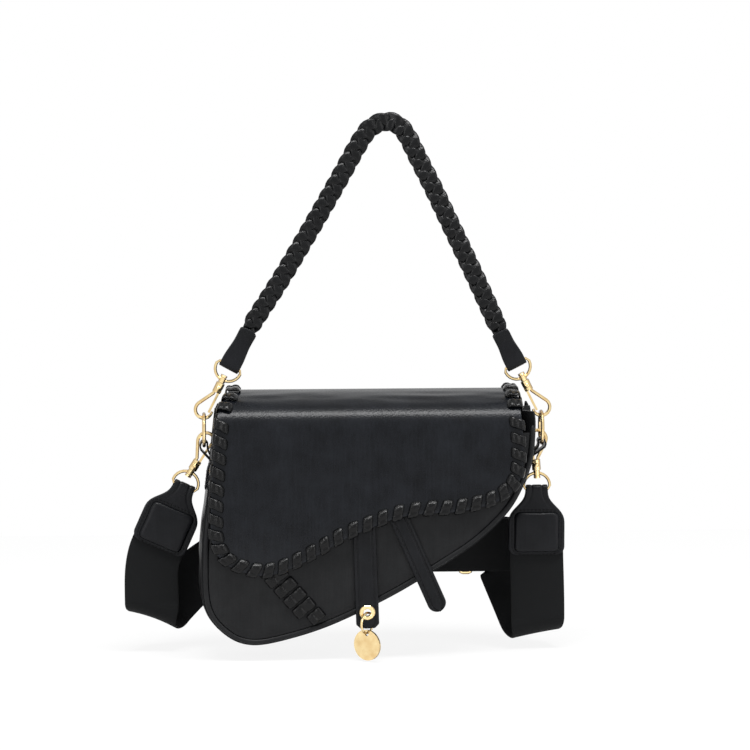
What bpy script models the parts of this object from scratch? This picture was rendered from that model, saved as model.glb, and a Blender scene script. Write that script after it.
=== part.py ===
# Crossbody bag with a laced flap, a braided grip handle and a wide webbing strap.
# Metres, +Z up, the front faces -Y. The bag hangs from the underside of its handle,
# which is the origin; the pieces are laid out in the bag's own frame (x from its middle,
# z down from the top of the flap) and hang from one empty.
import math

import bmesh
import bpy
from mathutils import Matrix, Vector

# Bag body
BAG_WIDTH = 0.255
BAG_HEIGHT = 0.193
HALF_DEPTH_TOP = 0.019
HALF_DEPTH_MIDDLE = 0.028
HALF_DEPTH_BOTTOM = 0.0245
DEEPEST_SHARE = 0.6
LEATHER = 0.0018
LINING = 0.0008
CLEARANCE = 0.0003
PIPING_RADIUS = 0.002
PIPING_PROUD = -0.0002
CUT_OVERRUN = 0.004
ROW_HEIGHT = 0.010
EDGE_STEP = 0.0085
FRONT_PANEL_TOP = -0.032
FRONT_PIPING_TOP = -0.0265
BACK_PIPING_TOP = -0.0135
BACK_PANEL_TOP = -0.0105
GUSSET_SETBACK = 0.0005
GUSSET_FOLD = 0.013
GUSSET_FOLD_END = -0.062
GUSSET_TOP = -0.0135
LINING_TOP = -0.034
LINING_SETBACK = 0.0018
HEM_HEIGHT = 0.010
LINING_BOTTOM_RISE = 0.003
POCKET_WIDTH = 0.110
POCKET_TOP = -0.062
POCKET_HEIGHT = 0.060
POCKET_CENTRE = -0.012

# Flap, with its round fold over the top of the bag
FLAP_HINGE_Z = -0.016
FLAP_SEAM_Z = -0.028
FLAP_LINING_INSET = 0.0130
LACE_WIDTH = 0.0070
LACE_THICKNESS = 0.0012
LACE_PITCH = 0.0106
LACE_LEAN = 0.0042
LACE_INSET = 0.0098
LACE_OVERHANG = 0.0015
SLOT_SLACK = 0.00035
CROSS_BAR_LENGTH = 0.0190
CROSS_BAR_WIDTH = 0.0080
CROSS_BAR_PITCH = 0.0106
CROSS_BAR_COUNT = 6
CROSS_BAR_START_SHARES = (-0.3208, -0.6834)
CROSS_BAR_TILT = math.radians(41)
CROSS_BAR_LAST_SHARE = 0.42
MAGNET_RADIUS = 0.0070
MAGNET_PLATE = 0.0009
MAGNET_CENTRE_SHARES = (-0.196, -0.518)

# Straps that hang on the front, and the charm
FRONT_STRAP_THICKNESS = 0.0020
CHARM_STRAP_WIDTH = 0.0175
CHARM_STRAP_TOP_SHARES = (-0.0357, -0.4611)
CHARM_STRAP_END_SHARES = (-0.0224, -0.9306)
CHARM_STRAP_CHAMFER = 0.0030
CHARM_STRAP_LIFT = 0.0012
CHARM_STRAP_LIFT_TOP_SHARE = -0.70
CHARM_STRAP_LIFT_END_SHARE = -0.82
SLANT_STRAP_WIDTH = 0.0142
SLANT_STRAP_TOP_SHARES = (0.0553, -0.4508)
SLANT_STRAP_END_SHARES = (0.1937, -0.8663)
EYELET_RISE = 0.0123
EYELET_RADIUS = 0.0060
EYELET_BORE = 0.0030
EYELET_FLANGE = 0.0006
EYELET_BARREL = 0.0036
CHARM_RING_RADIUS = 0.0078
CHARM_RING_WIRE = 0.0009
CHARM_RING_SAG = 0.0004
CHARM_RING_TURN = math.radians(-38)
CHARM_DISC_RADIUS = 0.0118
CHARM_DISC_THICKNESS = 0.0016
CHARM_DISC_HOLE = 0.0017
CHARM_DISC_HOLE_RIM = 0.0031

# Side rings, their folded leather tabs, and the two hooks on each ring
SIDE_RING_X = 0.1285
SIDE_RING_Z = -0.0310
SIDE_RING_RADIUS = 0.0121
SIDE_RING_WIRE = 0.0014
SIDE_TAB_WIDTH = 0.0110
SIDE_TAB_LEATHER = 0.0012
SIDE_TAB_LEFT_END_Z = -0.076
SIDE_TAB_RIGHT_END_Z = -0.066
STRAP_HOOK_ANGLE = math.radians(66)
STRAP_HOOK_SHIFT = 0.0018
HOOK_WIRE = 0.0014
HOOK_NOSE_WIRE = 0.0010
JAW_RADIUS = 0.0065
JAW_OUT = 0.0027
JAW_DROP = 0.0200
BARREL_RADIUS = 0.0034
BARREL_HALF = 0.0040
POST_RADIUS = 0.0014
HEAD_RADIUS = 0.0026
HEAD_THICKNESS = 0.0016
PIN_RADIUS = 0.0007
PIN_HALF = 0.0026
PIN_OUT = -0.0017
PIN_DROP = 0.0024
GATE_EYE_RADIUS = 0.0017
GATE_EYE_BORE = 0.0010
GATE_HALF_WIDTH = 0.00095
GATE_HALF_THICKNESS = 0.0009
GATE_BAR_SHARE = 0.88
BOSS_RADIUS = 0.0026
BOSS_HALF = 0.0021
BOSS_BORE = 0.0017
D_RING_WIRE = 0.00125
D_RING_HALF_WIDTH = 0.0100
D_RING_DEPTH = 0.0122
HANDLE_HOOK_TILT = math.radians(26)
LEFT_STRAP_HOOK_TILT = math.radians(33)
RIGHT_STRAP_HOOK_TILT = math.radians(-4.6)
LEFT_STRAP_RING_TILT = math.radians(24)
RIGHT_STRAP_RING_TILT = 0.0

# Handle
HANDLE_RISE = 0.2025
HANDLE_SPAN = 0.1985
BRAID_HALF_THICKNESS = 0.0060
BRAID_HALF_WIDTH = 0.0052
HANDLE_TAB_WIDTH = 0.0150
HANDLE_TAB_LEATHER = 0.0016
HANDLE_TAB_LENGTH = 0.0176

# Shoulder strap
WEBBING_WIDTH = 0.0410
WEBBING_THICKNESS = 0.0014
STRAP_TAB_WIDTH = 0.0430
STRAP_TAB_NECK = 0.0165
STRAP_TAB_LEATHER = 0.0016
STRAP_TAB_LENGTH = 0.0510
STRAP_TAB_PAD_WIDTH = 0.0310
STRAP_TAB_PAD_HEIGHT = 0.0270
STRAP_TAB_PAD_THICKNESS = 0.0014
STRAP_TAB_PAD_CORNER = 0.0045
WEBBING_OVERLAP = 0.0200
LEFT_FOLD_RADIUS = 0.0125
LEFT_FOLD_Z = -0.1645
LEFT_FOLD_SHIFT = 0.0045
LEFT_FOLD_SLOPE = math.radians(-21)
RIGHT_FOLD_RADIUS = 0.0140
RIGHT_FOLD_Z = -0.1795
RIGHT_FOLD_SHIFT = 0.0015
RIGHT_FOLD_SLOPE = math.radians(11)
STRAP_BACK_Y = 0.0340
STRAP_BACK_Z = -0.1275
STRAP_LOOP_X = 0.1040
SHORT_RUN_RISE = 0.034
STRAP_LOOP_RADIUS = 0.0055
STRAP_INNER_RADIUS = 0.0021
STRAP_RING_X = 0.0745
STRAP_RING_HALF_WIDTH = 0.0045
STRAP_RING_WIRE = 0.0015
SLIDER_HALF_WIDTH = 0.0100
SLIDER_BAR = 0.0011
RING_CORNER_SHARE = 1.6

# Outlines, as shares of the bag's width and height, from the right top round to the left
BODY_EDGE_SHARES = (
    (0.469, -0.047), (0.478, -0.114), (0.475, -0.197), (0.468, -0.269), (0.446, -0.352),
    (0.409, -0.446), (0.361, -0.521), (0.290, -0.604), (0.192, -0.689), (0.078, -0.782),
    (-0.043, -0.865), (-0.149, -0.927), (-0.251, -0.970), (-0.345, -0.995), (-0.408, -0.982),
    (-0.459, -0.935), (-0.493, -0.876), (-0.508, -0.803), (-0.511, -0.699), (-0.508, -0.580),
    (-0.498, -0.456), (-0.487, -0.337), (-0.478, -0.207), (-0.471, -0.104), (-0.465, -0.047),
)
FLAP_EDGE_SHARES = (
    (0.443, -0.070), (0.446, -0.120), (0.449, -0.170), (0.450, -0.223), (0.444, -0.295),
    (0.422, -0.365), (0.384, -0.412), (0.329, -0.445), (0.235, -0.469), (0.145, -0.474),
    (0.067, -0.490), (-0.010, -0.526), (-0.090, -0.570), (-0.169, -0.632), (-0.265, -0.694),
    (-0.335, -0.714), (-0.404, -0.694), (-0.457, -0.653), (-0.492, -0.575), (-0.501, -0.477),
    (-0.496, -0.342), (-0.482, -0.181), (-0.475, -0.120), (-0.468, -0.070),
)
# Side edges of the flap's top, as shares of the way from the back seam to the hinge
TOP_EDGE_SHARES = ((0.0, 0.00, 0.00), (0.30, 0.00, 0.00), (0.55, 0.03, 0.02),
                   (0.70, 0.20, 0.18), (0.85, 0.60, 0.55), (1.0, 1.00, 1.00))
TOP_LACED_FROM = 0.35
TOP_LACED_TO = 0.90
TOP_LACE_GAP = 0.0006
TOP_BACK_LEFT = -0.1095
TOP_BACK_RIGHT = 0.1090
# Profile of the flap over the top: depth shares of the half depth, height shares of the hinge
TOP_PROFILE_SHARES = ((1.320, 1.000), (1.290, 0.640), (1.140, 0.260), (0.600, 0.125),
                      (-0.050, 0.150), (-0.640, 0.270), (-1.130, 0.500), (-1.400, 0.800))
HANDLE_PATH_SHARES = (
    (-0.502, 0.170), (-0.448, 0.265), (-0.362, 0.396), (-0.279, 0.531), (-0.198, 0.667),
    (-0.120, 0.802), (-0.060, 0.908), (-0.020, 0.967), (0.017, 0.992), (0.055, 1.000),
    (0.093, 0.989), (0.128, 0.950), (0.170, 0.868), (0.228, 0.755), (0.287, 0.634),
    (0.350, 0.504), (0.413, 0.371), (0.467, 0.254), (0.501, 0.178),
)
HANDLE_APEX_SHARE = 0.055

POINT_TOLERANCE = 0.000001


def make_material(name, colour, roughness, metallic):
    material = bpy.data.materials.new(name)
    material.use_nodes = True
    shader = material.node_tree.nodes["Principled BSDF"]
    shader.inputs["Base Color"].default_value = (*colour, 1.0)
    shader.inputs["Roughness"].default_value = roughness
    shader.inputs["Metallic"].default_value = metallic
    return material


def add_object(name, bm, material, smooth=True):
    bmesh.ops.recalc_face_normals(bm, faces=bm.faces[:])
    mesh = bpy.data.meshes.new(name)
    bm.to_mesh(mesh)
    bm.free()
    obj = bpy.data.objects.new(name, mesh)
    bpy.context.scene.collection.objects.link(obj)
    obj.parent = bag_frame
    mesh.materials.append(material)
    if smooth:
        mesh.shade_smooth()
        mesh.set_sharp_from_angle(angle=math.radians(35))
    return obj


def add_boolean(obj, cutter, operation):
    modifier = obj.modifiers.new(operation.title(), "BOOLEAN")
    modifier.operation = operation
    modifier.object = cutter
    cutter.hide_render = True
    cutter.display_type = "WIRE"


# Curves and outlines
def smooth_through(points, steps):
    """A smooth run of points through the given ones."""
    line = [Vector(p) for p in points]
    line = [line[0] * 2 - line[1]] + line + [line[-1] * 2 - line[-2]]
    result = []
    for i in range(1, len(line) - 2):
        a, b, c, d = line[i - 1:i + 3]
        for step in range(steps):
            t = step / steps
            result.append(0.5 * (2 * b + (c - a) * t + (2 * a - 5 * b + 4 * c - d) * t ** 2
                                 + (3 * b - a - 3 * c + d) * t ** 3))
    result.append(line[-2])
    return result


def lengths_along(points):
    total = [0.0]
    for a, b in zip(points, points[1:]):
        total.append(total[-1] + (b - a).length)
    return total


def point_at(points, lengths, distance):
    distance = min(max(distance, 0.0), lengths[-1])
    i = 0
    while i < len(lengths) - 2 and lengths[i + 1] < distance:
        i += 1
    t = (distance - lengths[i]) / (lengths[i + 1] - lengths[i])
    return points[i].lerp(points[i + 1], t)


def evenly(points, spacing):
    lengths = lengths_along(points)
    count = max(2, round(lengths[-1] / spacing))
    return [point_at(points, lengths, lengths[-1] * i / count) for i in range(count + 1)]


def inward_normals(points, down=False):
    """Unit normals of a run of points, to the inside of an outline that runs from the
    right over the bottom to the left; down is for patterns whose second axis points down."""
    turn = -1 if down else 1
    normals = []
    for i in range(len(points)):
        a = points[max(i - 1, 0)]
        b = points[min(i + 1, len(points) - 1)]
        along = (b - a).normalized()
        normals.append(Vector((along.y, -along.x)) * turn)
    return normals


def inset_line(points, distance, down=False):
    return [p + n * distance for p, n in zip(points, inward_normals(points, down))]


def clip_below(points, z_top):
    """The stretch of a right-to-left outline under z_top, with its ends on z_top."""
    first = next(i for i, p in enumerate(points) if p.y < z_top)
    last = max(i for i, p in enumerate(points) if p.y < z_top)
    kept = points[first:last + 1]
    if first > 0:
        kept.insert(0, cross_level(points[first - 1], points[first], z_top))
    else:
        kept.insert(0, Vector((points[0].x, z_top)))
    if last < len(points) - 1:
        kept.append(cross_level(points[last], points[last + 1], z_top))
    else:
        kept.append(Vector((points[-1].x, z_top)))
    return kept


def cross_level(a, b, z):
    return a.lerp(b, (z - a.y) / (b.y - a.y))


def spans_at(points, z):
    """Right and left x of an outline at one height."""
    found = [cross_level(a, b, z).x for a, b in zip(points, points[1:])
             if (a.y - z) * (b.y - z) <= 0.0 and a.y != b.y]
    return max(found), min(found)


def scaled(shares, width, height):
    return [(x * width, z * height) for x, z in shares]


# The bag's depth depends on the height alone, so every front layer follows one curve
def half_depth(z):
    share = max(-z / BAG_HEIGHT, 0.0)
    if share < DEEPEST_SHARE:
        rise = math.sin(share / DEEPEST_SHARE * math.pi / 2)
        return HALF_DEPTH_TOP + (HALF_DEPTH_MIDDLE - HALF_DEPTH_TOP) * rise
    fall = math.cos((share - DEEPEST_SHARE) / (1 - DEEPEST_SHARE) * math.pi / 2)
    return HALF_DEPTH_BOTTOM + (HALF_DEPTH_MIDDLE - HALF_DEPTH_BOTTOM) * fall


def strap_layer():
    return LEATHER + CLEARANCE


def lace_back_layer():
    return strap_layer() + FRONT_STRAP_THICKNESS + CLEARANCE


def flap_layer():
    """How far the back of the flap's leather stands off the bag's depth curve."""
    return lace_back_layer() + LACE_THICKNESS + CLEARANCE


def cut_rows(bm, low, high, axis, row=None):
    """Cut a flat sheet at every row, so that it can bend with the bag's depth."""
    row = row or ROW_HEIGHT
    level = math.floor(low / row) * row
    while level < high:
        if level > low + POINT_TOLERANCE:
            geometry = bm.verts[:] + bm.edges[:] + bm.faces[:]
            bmesh.ops.bisect_plane(bm, geom=geometry, dist=POINT_TOLERANCE,
                                   plane_co=axis * level, plane_no=axis)
        level += row


def bent_sheet(name, outline, offset, thickness, material, side=-1, depth=None):
    """A sheet cut to an (x, z) outline and bent to a depth curve on one side."""
    depth = depth or half_depth
    bm = bmesh.new()
    bm.faces.new([bm.verts.new((p[0], 0, p[1])) for p in outline])
    heights = [p[1] for p in outline]
    cut_rows(bm, min(heights), max(heights), Vector((0, 0, 1)))
    grown = bmesh.ops.extrude_face_region(bm, geom=bm.faces[:])["geom"]
    outer = {v for v in grown if isinstance(v, bmesh.types.BMVert)}
    for v in bm.verts:
        layer = offset + (thickness if v in outer else 0)
        v.co.y = side * (depth(v.co.z) + layer)
    return add_object(name, bm, material)


# Small turned and swept shapes
def cylinder(radius, low, high, segments, axis="Z"):
    """A closed cylinder between two points on an axis through the origin."""
    bm = bmesh.new()
    bmesh.ops.create_cone(bm, cap_ends=True, segments=segments, radius1=radius,
                          radius2=radius, depth=high - low,
                          matrix=Matrix.Translation((0, 0, (low + high) / 2)))
    if axis == "Y":
        bmesh.ops.rotate(bm, verts=bm.verts[:], matrix=Matrix.Rotation(math.pi / 2, 3, "X"))
    return bm


def swept_wire(points, radii, segments, closed=False, flatten=1.0):
    """A round wire along a run of points; flatten squeezes it across its plane."""
    bm = bmesh.new()
    count = len(points)
    rings = []
    for i, p in enumerate(points):
        before = points[i - 1] if closed or i > 0 else p
        after = points[(i + 1) % count] if closed or i < count - 1 else p
        along = (after - before).normalized()
        across = Vector((0, 1, 0)).cross(along).normalized()
        lift = along.cross(across) * flatten
        ring = []
        for k in range(segments):
            angle = 2 * math.pi * (k + 0.5) / segments
            side = across * math.cos(angle) + lift * math.sin(angle)
            ring.append(bm.verts.new(p + side * radii[i]))
        rings.append(ring)
    pairs = list(zip(rings, rings[1:]))
    if closed:
        pairs.append((rings[-1], rings[0]))
    for a, b in pairs:
        for k in range(segments):
            j = (k + 1) % segments
            bm.faces.new((a[k], a[j], b[j], b[k]))
    if not closed:
        bm.faces.new(rings[0])
        bm.faces.new(rings[-1][::-1])
    return bm


def torus(radius, wire, around, segments):
    """A ring in the local YZ plane."""
    bm = bmesh.new()
    circle = []
    for k in range(segments):
        angle = 2 * math.pi * (k + 0.5) / segments
        circle.append(bm.verts.new((math.sin(angle) * wire, 0, radius + math.cos(angle) * wire)))
    edges = [bm.edges.new((circle[k], circle[(k + 1) % segments])) for k in range(segments)]
    bmesh.ops.spin(bm, geom=circle + edges, cent=(0, 0, 0), axis=(1, 0, 0),
                   angle=2 * math.pi, steps=around, use_merge=True, use_duplicate=False)
    bmesh.ops.remove_doubles(bm, verts=bm.verts[:], dist=POINT_TOLERANCE)
    return bm


def ribbon(name, stations, thickness, material):
    """A flat strip through stations of (centre, direction across, width)."""
    bm = bmesh.new()
    rows = []
    for i, (centre, across, width) in enumerate(stations):
        before = stations[max(i - 1, 0)][0]
        after = stations[min(i + 1, len(stations) - 1)][0]
        normal = (after - before).cross(across).normalized()
        half = across * (width / 2)
        lift = normal * (thickness / 2)
        rows.append([bm.verts.new(centre + p) for p in (-half - lift, half - lift,
                                                        half + lift, -half + lift)])
    for a, b in zip(rows, rows[1:]):
        for k in range(4):
            j = (k + 1) % 4
            bm.faces.new((a[k], a[j], b[j], b[k]))
    bm.faces.new(rows[0])
    bm.faces.new(rows[-1][::-1])
    return add_object(name, bm, material)


def hook_matrix(place):
    """Turns a hook's own axes: X out to the wide leg, Z from the jaw to the swivel."""
    out, up = place["out"], place["up"]
    turn = Matrix((out, up.cross(out), up)).transposed()
    return Matrix.Translation(place["barrel"]) @ turn.to_4x4()


def hook_places():
    """Where each hook's barrel sits, from the point where its jaw holds the side ring."""
    reach = SIDE_RING_RADIUS - SIDE_RING_WIRE - HOOK_WIRE - CLEARANCE
    top = Vector((0, 0, SIDE_RING_Z + reach))
    low = Vector((0, reach * math.sin(STRAP_HOOK_ANGLE),
                  SIDE_RING_Z - reach * math.cos(STRAP_HOOK_ANGLE)))
    tilts = {
        "handle_left": (-1, 1, HANDLE_HOOK_TILT, top, 0.0),
        "handle_right": (1, 1, HANDLE_HOOK_TILT, top, 0.0),
        "strap_left": (-1, -1, -LEFT_STRAP_HOOK_TILT, low, STRAP_HOOK_SHIFT),
        "strap_right": (1, -1, RIGHT_STRAP_HOOK_TILT, low, STRAP_HOOK_SHIFT),
    }
    places = {}
    for name, (side, rise, tilt, hold, shift) in tilts.items():
        up = Vector((-side * math.sin(tilt), 0, rise * math.cos(tilt)))
        out = Vector((side * math.cos(tilt), 0, rise * math.sin(tilt)))
        hold = hold + Vector((side * SIDE_RING_X, 0, 0))
        drop = math.sqrt(JAW_RADIUS ** 2 - shift ** 2)
        jaw = hold + Vector((-side * shift, 0, rise * drop))
        places[name] = {"side": side, "up": up, "out": out, "hold": hold,
                        "barrel": jaw - out * JAW_OUT + up * JAW_DROP}
    return places


def jaw_line():
    """The hook's wire: from the barrel down the wide leg and round the jaw to the nose."""
    centre = Vector((JAW_OUT, 0, -JAW_DROP))
    start = math.radians(25)
    end = math.radians(-192)
    steps = 14
    leg = BARREL_RADIUS / 2
    points = [Vector((leg, 0, -BARREL_HALF / 2)), Vector((leg, 0, -BARREL_HALF - HOOK_WIRE))]
    for i in range(steps + 1):
        angle = start + (end - start) * i / steps
        points.append(centre + Vector((math.cos(angle), 0, math.sin(angle))) * JAW_RADIUS)
    return points


def applied(body, tools):
    """Apply a body's Booleans once, so that every hook gets the very same mesh."""
    bpy.context.view_layer.update()
    depsgraph = bpy.context.evaluated_depsgraph_get()
    mesh = bpy.data.meshes.new_from_object(body.evaluated_get(depsgraph), depsgraph=depsgraph)
    for old_object in (body, *tools):
        bpy.data.objects.remove(old_object, do_unlink=True)
    bm = bmesh.new()
    bm.from_mesh(mesh)
    bmesh.ops.triangulate(bm, faces=bm.faces[:])
    bm.to_mesh(mesh)
    bm.free()
    return mesh


def add_copy(name, mesh, placed):
    obj = bpy.data.objects.new(name, mesh.copy())
    bpy.context.scene.collection.objects.link(obj)
    obj.parent = bag_frame
    obj.matrix_local = placed


def hook_mesh():
    """The hook body: wire, barrel with a slot for the gate, pin, post and rivet head."""
    line = jaw_line()
    radii = [HOOK_WIRE] * (len(line) - 3) + [(HOOK_WIRE + HOOK_NOSE_WIRE) / 2] + [HOOK_NOSE_WIRE] * 2
    body = add_object("hook_shape", swept_wire(line, radii, 8), gold)
    slot_out = PIN_OUT + GATE_EYE_RADIUS + CLEARANCE
    slot_top = -PIN_DROP + GATE_EYE_RADIUS + CLEARANCE
    slot_half = GATE_HALF_WIDTH + CLEARANCE
    far = -BARREL_RADIUS - CUT_OVERRUN
    low = -BARREL_HALF - CUT_OVERRUN
    slot = bmesh.new()
    bmesh.ops.create_cube(slot, size=1.0)
    bmesh.ops.scale(slot, verts=slot.verts[:], vec=(slot_out - far, 2 * slot_half, slot_top - low))
    bmesh.ops.translate(slot, verts=slot.verts[:],
                        vec=((slot_out + far) / 2, 0, (slot_top + low) / 2))
    pin = cylinder(PIN_RADIUS, -PIN_HALF, PIN_HALF, 8, "Y")
    bmesh.ops.translate(pin, verts=pin.verts[:], vec=(PIN_OUT, 0, -PIN_DROP))
    head_low = BARREL_HALF + 2 * CLEARANCE + 2 * BOSS_HALF
    parts = [
        ("barrel", cylinder(BARREL_RADIUS, -BARREL_HALF, BARREL_HALF, 14), "UNION"),
        ("slot", slot, "DIFFERENCE"),
        ("pin", pin, "UNION"),
        ("post", cylinder(POST_RADIUS, BARREL_HALF / 2, head_low + HEAD_THICKNESS / 2, 12), "UNION"),
        ("head", cylinder(HEAD_RADIUS, head_low, head_low + HEAD_THICKNESS, 12), "UNION"),
    ]
    tools = []
    for part, bm, operation in parts:
        tools.append(add_object(f"{part}_shape", bm, gold))
        add_boolean(body, tools[-1], operation)
    return applied(body, tools)


def gate_pivot():
    return Vector((PIN_OUT, 0, -PIN_DROP))


def gate_mesh():
    """The sprung gate: an eye on the pin and a bar that closes on the nose's inner side."""
    nose = jaw_line()[-1]
    tip = nose + Vector((HOOK_NOSE_WIRE + CLEARANCE + GATE_HALF_THICKNESS, 0,
                         -HOOK_NOSE_WIRE - GATE_HALF_THICKNESS))
    bar = [Vector((0, 0, 0)), tip - gate_pivot()]
    bm = swept_wire(bar, [GATE_HALF_THICKNESS * math.sqrt(2)] * 2, 4,
                    flatten=GATE_BAR_SHARE * GATE_HALF_WIDTH / GATE_HALF_THICKNESS)
    gate = add_object("gate_shape", bm, gold)
    eye = add_object("eye_shape",
                     cylinder(GATE_EYE_RADIUS, -GATE_HALF_WIDTH, GATE_HALF_WIDTH, 16, "Y"), gold)
    bore = add_object("bore_shape", cylinder(GATE_EYE_BORE, -CUT_OVERRUN, CUT_OVERRUN, 12, "Y"), gold)
    add_boolean(gate, eye, "UNION")
    add_boolean(gate, bore, "DIFFERENCE")
    return applied(gate, [eye, bore])


def add_hooks(places):
    hook, gate = hook_mesh(), gate_mesh()
    for name, place in places.items():
        owner, side = name.split("_")
        placed = hook_matrix(place)
        add_copy(f"{owner}_hook_{side}", hook, placed)
        add_copy(f"{owner}_hook_gate_{side}", gate, placed @ Matrix.Translation(gate_pivot()))


def boss_centre(place):
    return place["barrel"] + place["up"] * (BARREL_HALF + CLEARANCE + BOSS_HALF)


def add_d_ring(name, place, direction):
    """A D of wire, its straight bar away from the hook, with a bored boss on the curve."""
    rise = D_RING_DEPTH
    round_part = 12
    points = []
    for i in range(round_part + 1):
        angle = math.pi * i / round_part
        points.append(Vector((-math.cos(angle) * D_RING_HALF_WIDTH, 0,
                              (1 - math.sin(angle)) * (rise - 2 * D_RING_WIRE))))
    corner = D_RING_HALF_WIDTH - D_RING_WIRE
    points += [Vector((corner, 0, rise)), Vector((-corner, 0, rise))]
    ring = add_object(name, swept_wire(points, [D_RING_WIRE] * len(points), 8, closed=True), gold)
    out = Vector((direction.z, 0, -direction.x))
    turn = Matrix((out, direction.cross(out), direction)).transposed()
    ring.matrix_local = Matrix.Translation(boss_centre(place)) @ turn.to_4x4()
    boss_turn = hook_matrix(place)
    boss_turn.translation = boss_centre(place)
    boss = add_object(f"{name}_boss_shape", cylinder(BOSS_RADIUS, -BOSS_HALF, BOSS_HALF, 14), gold)
    bore = add_object(f"{name}_bore_shape",
                      cylinder(BOSS_BORE, -CUT_OVERRUN, CUT_OVERRUN, 12), gold)
    for tool, operation in ((boss, "UNION"), (bore, "DIFFERENCE")):
        tool.matrix_local = boss_turn
        add_boolean(ring, tool, operation)
    return boss_centre(place) + direction * rise


def folded_tab(name, bar, direction, across, widths, leather, inner_gap, material):
    """Leather folded round a bar: down one face, round the bar and up the other.
    widths is a list of (distance from the bar, width)."""
    radius = D_RING_WIRE + CLEARANCE + leather / 2
    closed = inner_gap / 2 + leather / 2
    facing = direction.cross(across).normalized()
    steps = 6
    face = []
    for distance, width in widths:
        blend = min(distance / (3 * radius), 1.0)
        off = radius + (closed - radius) * blend
        face.append((distance, off, width))
    stations = [(bar + direction * s + facing * off, across, w) for s, off, w in reversed(face)]
    for i in range(1, steps):
        angle = math.pi * i / steps
        arc = facing * math.cos(angle) - direction * math.sin(angle)
        stations.append((bar + arc * radius, across, widths[0][1]))
    stations += [(bar + direction * s - facing * off, across, w) for s, off, w in face]
    return ribbon(name, stations, leather, material)


# Outlines in the bag's own frame
def body_edge():
    return evenly(smooth_through(scaled(BODY_EDGE_SHARES, BAG_WIDTH, BAG_HEIGHT), 6), EDGE_STEP)


def flap_edge():
    return evenly(smooth_through(scaled(FLAP_EDGE_SHARES, BAG_WIDTH, BAG_HEIGHT), 6), EDGE_STEP)


def on_bag(shares):
    """A place on the bag's front, from shares of its width and height."""
    return Vector((shares[0] * BAG_WIDTH, shares[1] * BAG_HEIGHT))


# Pattern of the flap: x across and v down over its profile, u out of its face
class FlapPattern:
    def __init__(self):
        depth, hinge = HALF_DEPTH_TOP, FLAP_HINGE_Z
        outer = flap_layer() + LEATHER
        back = half_depth(FLAP_SEAM_Z) + LEATHER + CLEARANCE + LEATHER
        shape = [(back, FLAP_SEAM_Z)]
        shape += [(y * depth, z * hinge) for y, z in TOP_PROFILE_SHARES]
        shape.append((-(half_depth(hinge) + outer), hinge))
        lower = hinge - ROW_HEIGHT
        while lower > -BAG_HEIGHT:
            shape.append((-(half_depth(lower) + outer), lower))
            lower -= ROW_HEIGHT
        self.line = smooth_through(shape, 6)
        self.lengths = lengths_along(self.line)
        self.hinge_v = self.v_of(FLAP_HINGE_Z)

    def v_of(self, z):
        """Distance over the profile to a height on the front."""
        for i in range(len(self.line) - 1, 0, -1):
            a, b = self.line[i - 1], self.line[i]
            if a.y >= z >= b.y:
                t = (a.y - z) / (a.y - b.y)
                return self.lengths[i - 1] + t * (self.lengths[i] - self.lengths[i - 1])
        return 0.0

    def place(self, x, v, u):
        at = point_at(self.line, self.lengths, v)
        step = ROW_HEIGHT / 4
        ahead = point_at(self.line, self.lengths, v + step)
        behind = point_at(self.line, self.lengths, v - step)
        along = (ahead - behind).normalized()
        normal = Vector((along.y, -along.x))
        return Vector((x, at.x + normal.x * u, at.y + normal.y * u))


def pattern_sheet(name, outline, u_low, u_high, material, pattern, row=None):
    """A sheet cut to an (x, v) outline and laid over the flap's profile."""
    bm = bmesh.new()
    bm.faces.new([bm.verts.new((x, v, 0)) for x, v in outline])
    downs = [v for x, v in outline]
    cut_rows(bm, min(downs), max(downs), Vector((0, 1, 0)), row)
    grown = bmesh.ops.extrude_face_region(bm, geom=bm.faces[:])["geom"]
    outer = {v for v in grown if isinstance(v, bmesh.types.BMVert)}
    for v in bm.verts:
        v.co = pattern.place(v.co.x, v.co.y, u_high if v in outer else u_low)
    return add_object(name, bm, material)


def flap_front_line(pattern):
    """The laced edge of the flap in the pattern, from the right of the hinge to the left."""
    edge = clip_below(flap_edge(), FLAP_HINGE_Z)
    return [Vector((p.x, pattern.v_of(p.y))) for p in edge]


def flap_top_sides(pattern):
    """The two side edges of the flap's top, from the back seam to the hinge."""
    front = flap_front_line(pattern)
    right, left = [], []
    for share, left_share, right_share in TOP_EDGE_SHARES:
        v = pattern.hinge_v * share
        left.append((TOP_BACK_LEFT + (front[-1].x - TOP_BACK_LEFT) * left_share, v))
        right.append((TOP_BACK_RIGHT + (front[0].x - TOP_BACK_RIGHT) * right_share, v))
    return smooth_through(right, 3), smooth_through(left, 3)


def lace_turns(name, place, starts, slant, inset, lap, front, back, material,
               edges=(-0.5, 0.5)):
    """One flat lace wound over an edge, or between two rows of slots.
    place(s, d, u) maps along the edge, in from it and out of the face."""
    half = LACE_THICKNESS / 2
    near, far = -lap, inset
    corners = []
    for s in starts:
        corners.append((s, far, back, 1, -1))
        corners.append((s, far, front, 1, 1))
        corners.append((s + slant, near, front, -1, 1))
        corners.append((s + slant, near, back, -1, -1))
    bm = bmesh.new()
    rows = []
    for s, d, u, out, rise in corners:
        inner, outer = [], []
        for edge in edges:
            at = s + edge * LACE_WIDTH
            inner.append(bm.verts.new(place(at, d - out * half, u - rise * half)))
            outer.append(bm.verts.new(place(at, d + out * half, u + rise * half)))
        rows.append(inner + outer[::-1])
    count = len(rows[0])
    for a, b in zip(rows, rows[1:]):
        for k in range(count):
            j = (k + 1) % count
            bm.faces.new((a[k], a[j], b[j], b[k]))
    bm.faces.new(rows[0])
    bm.faces.new(rows[-1][::-1])
    return add_object(name, bm, material)


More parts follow.
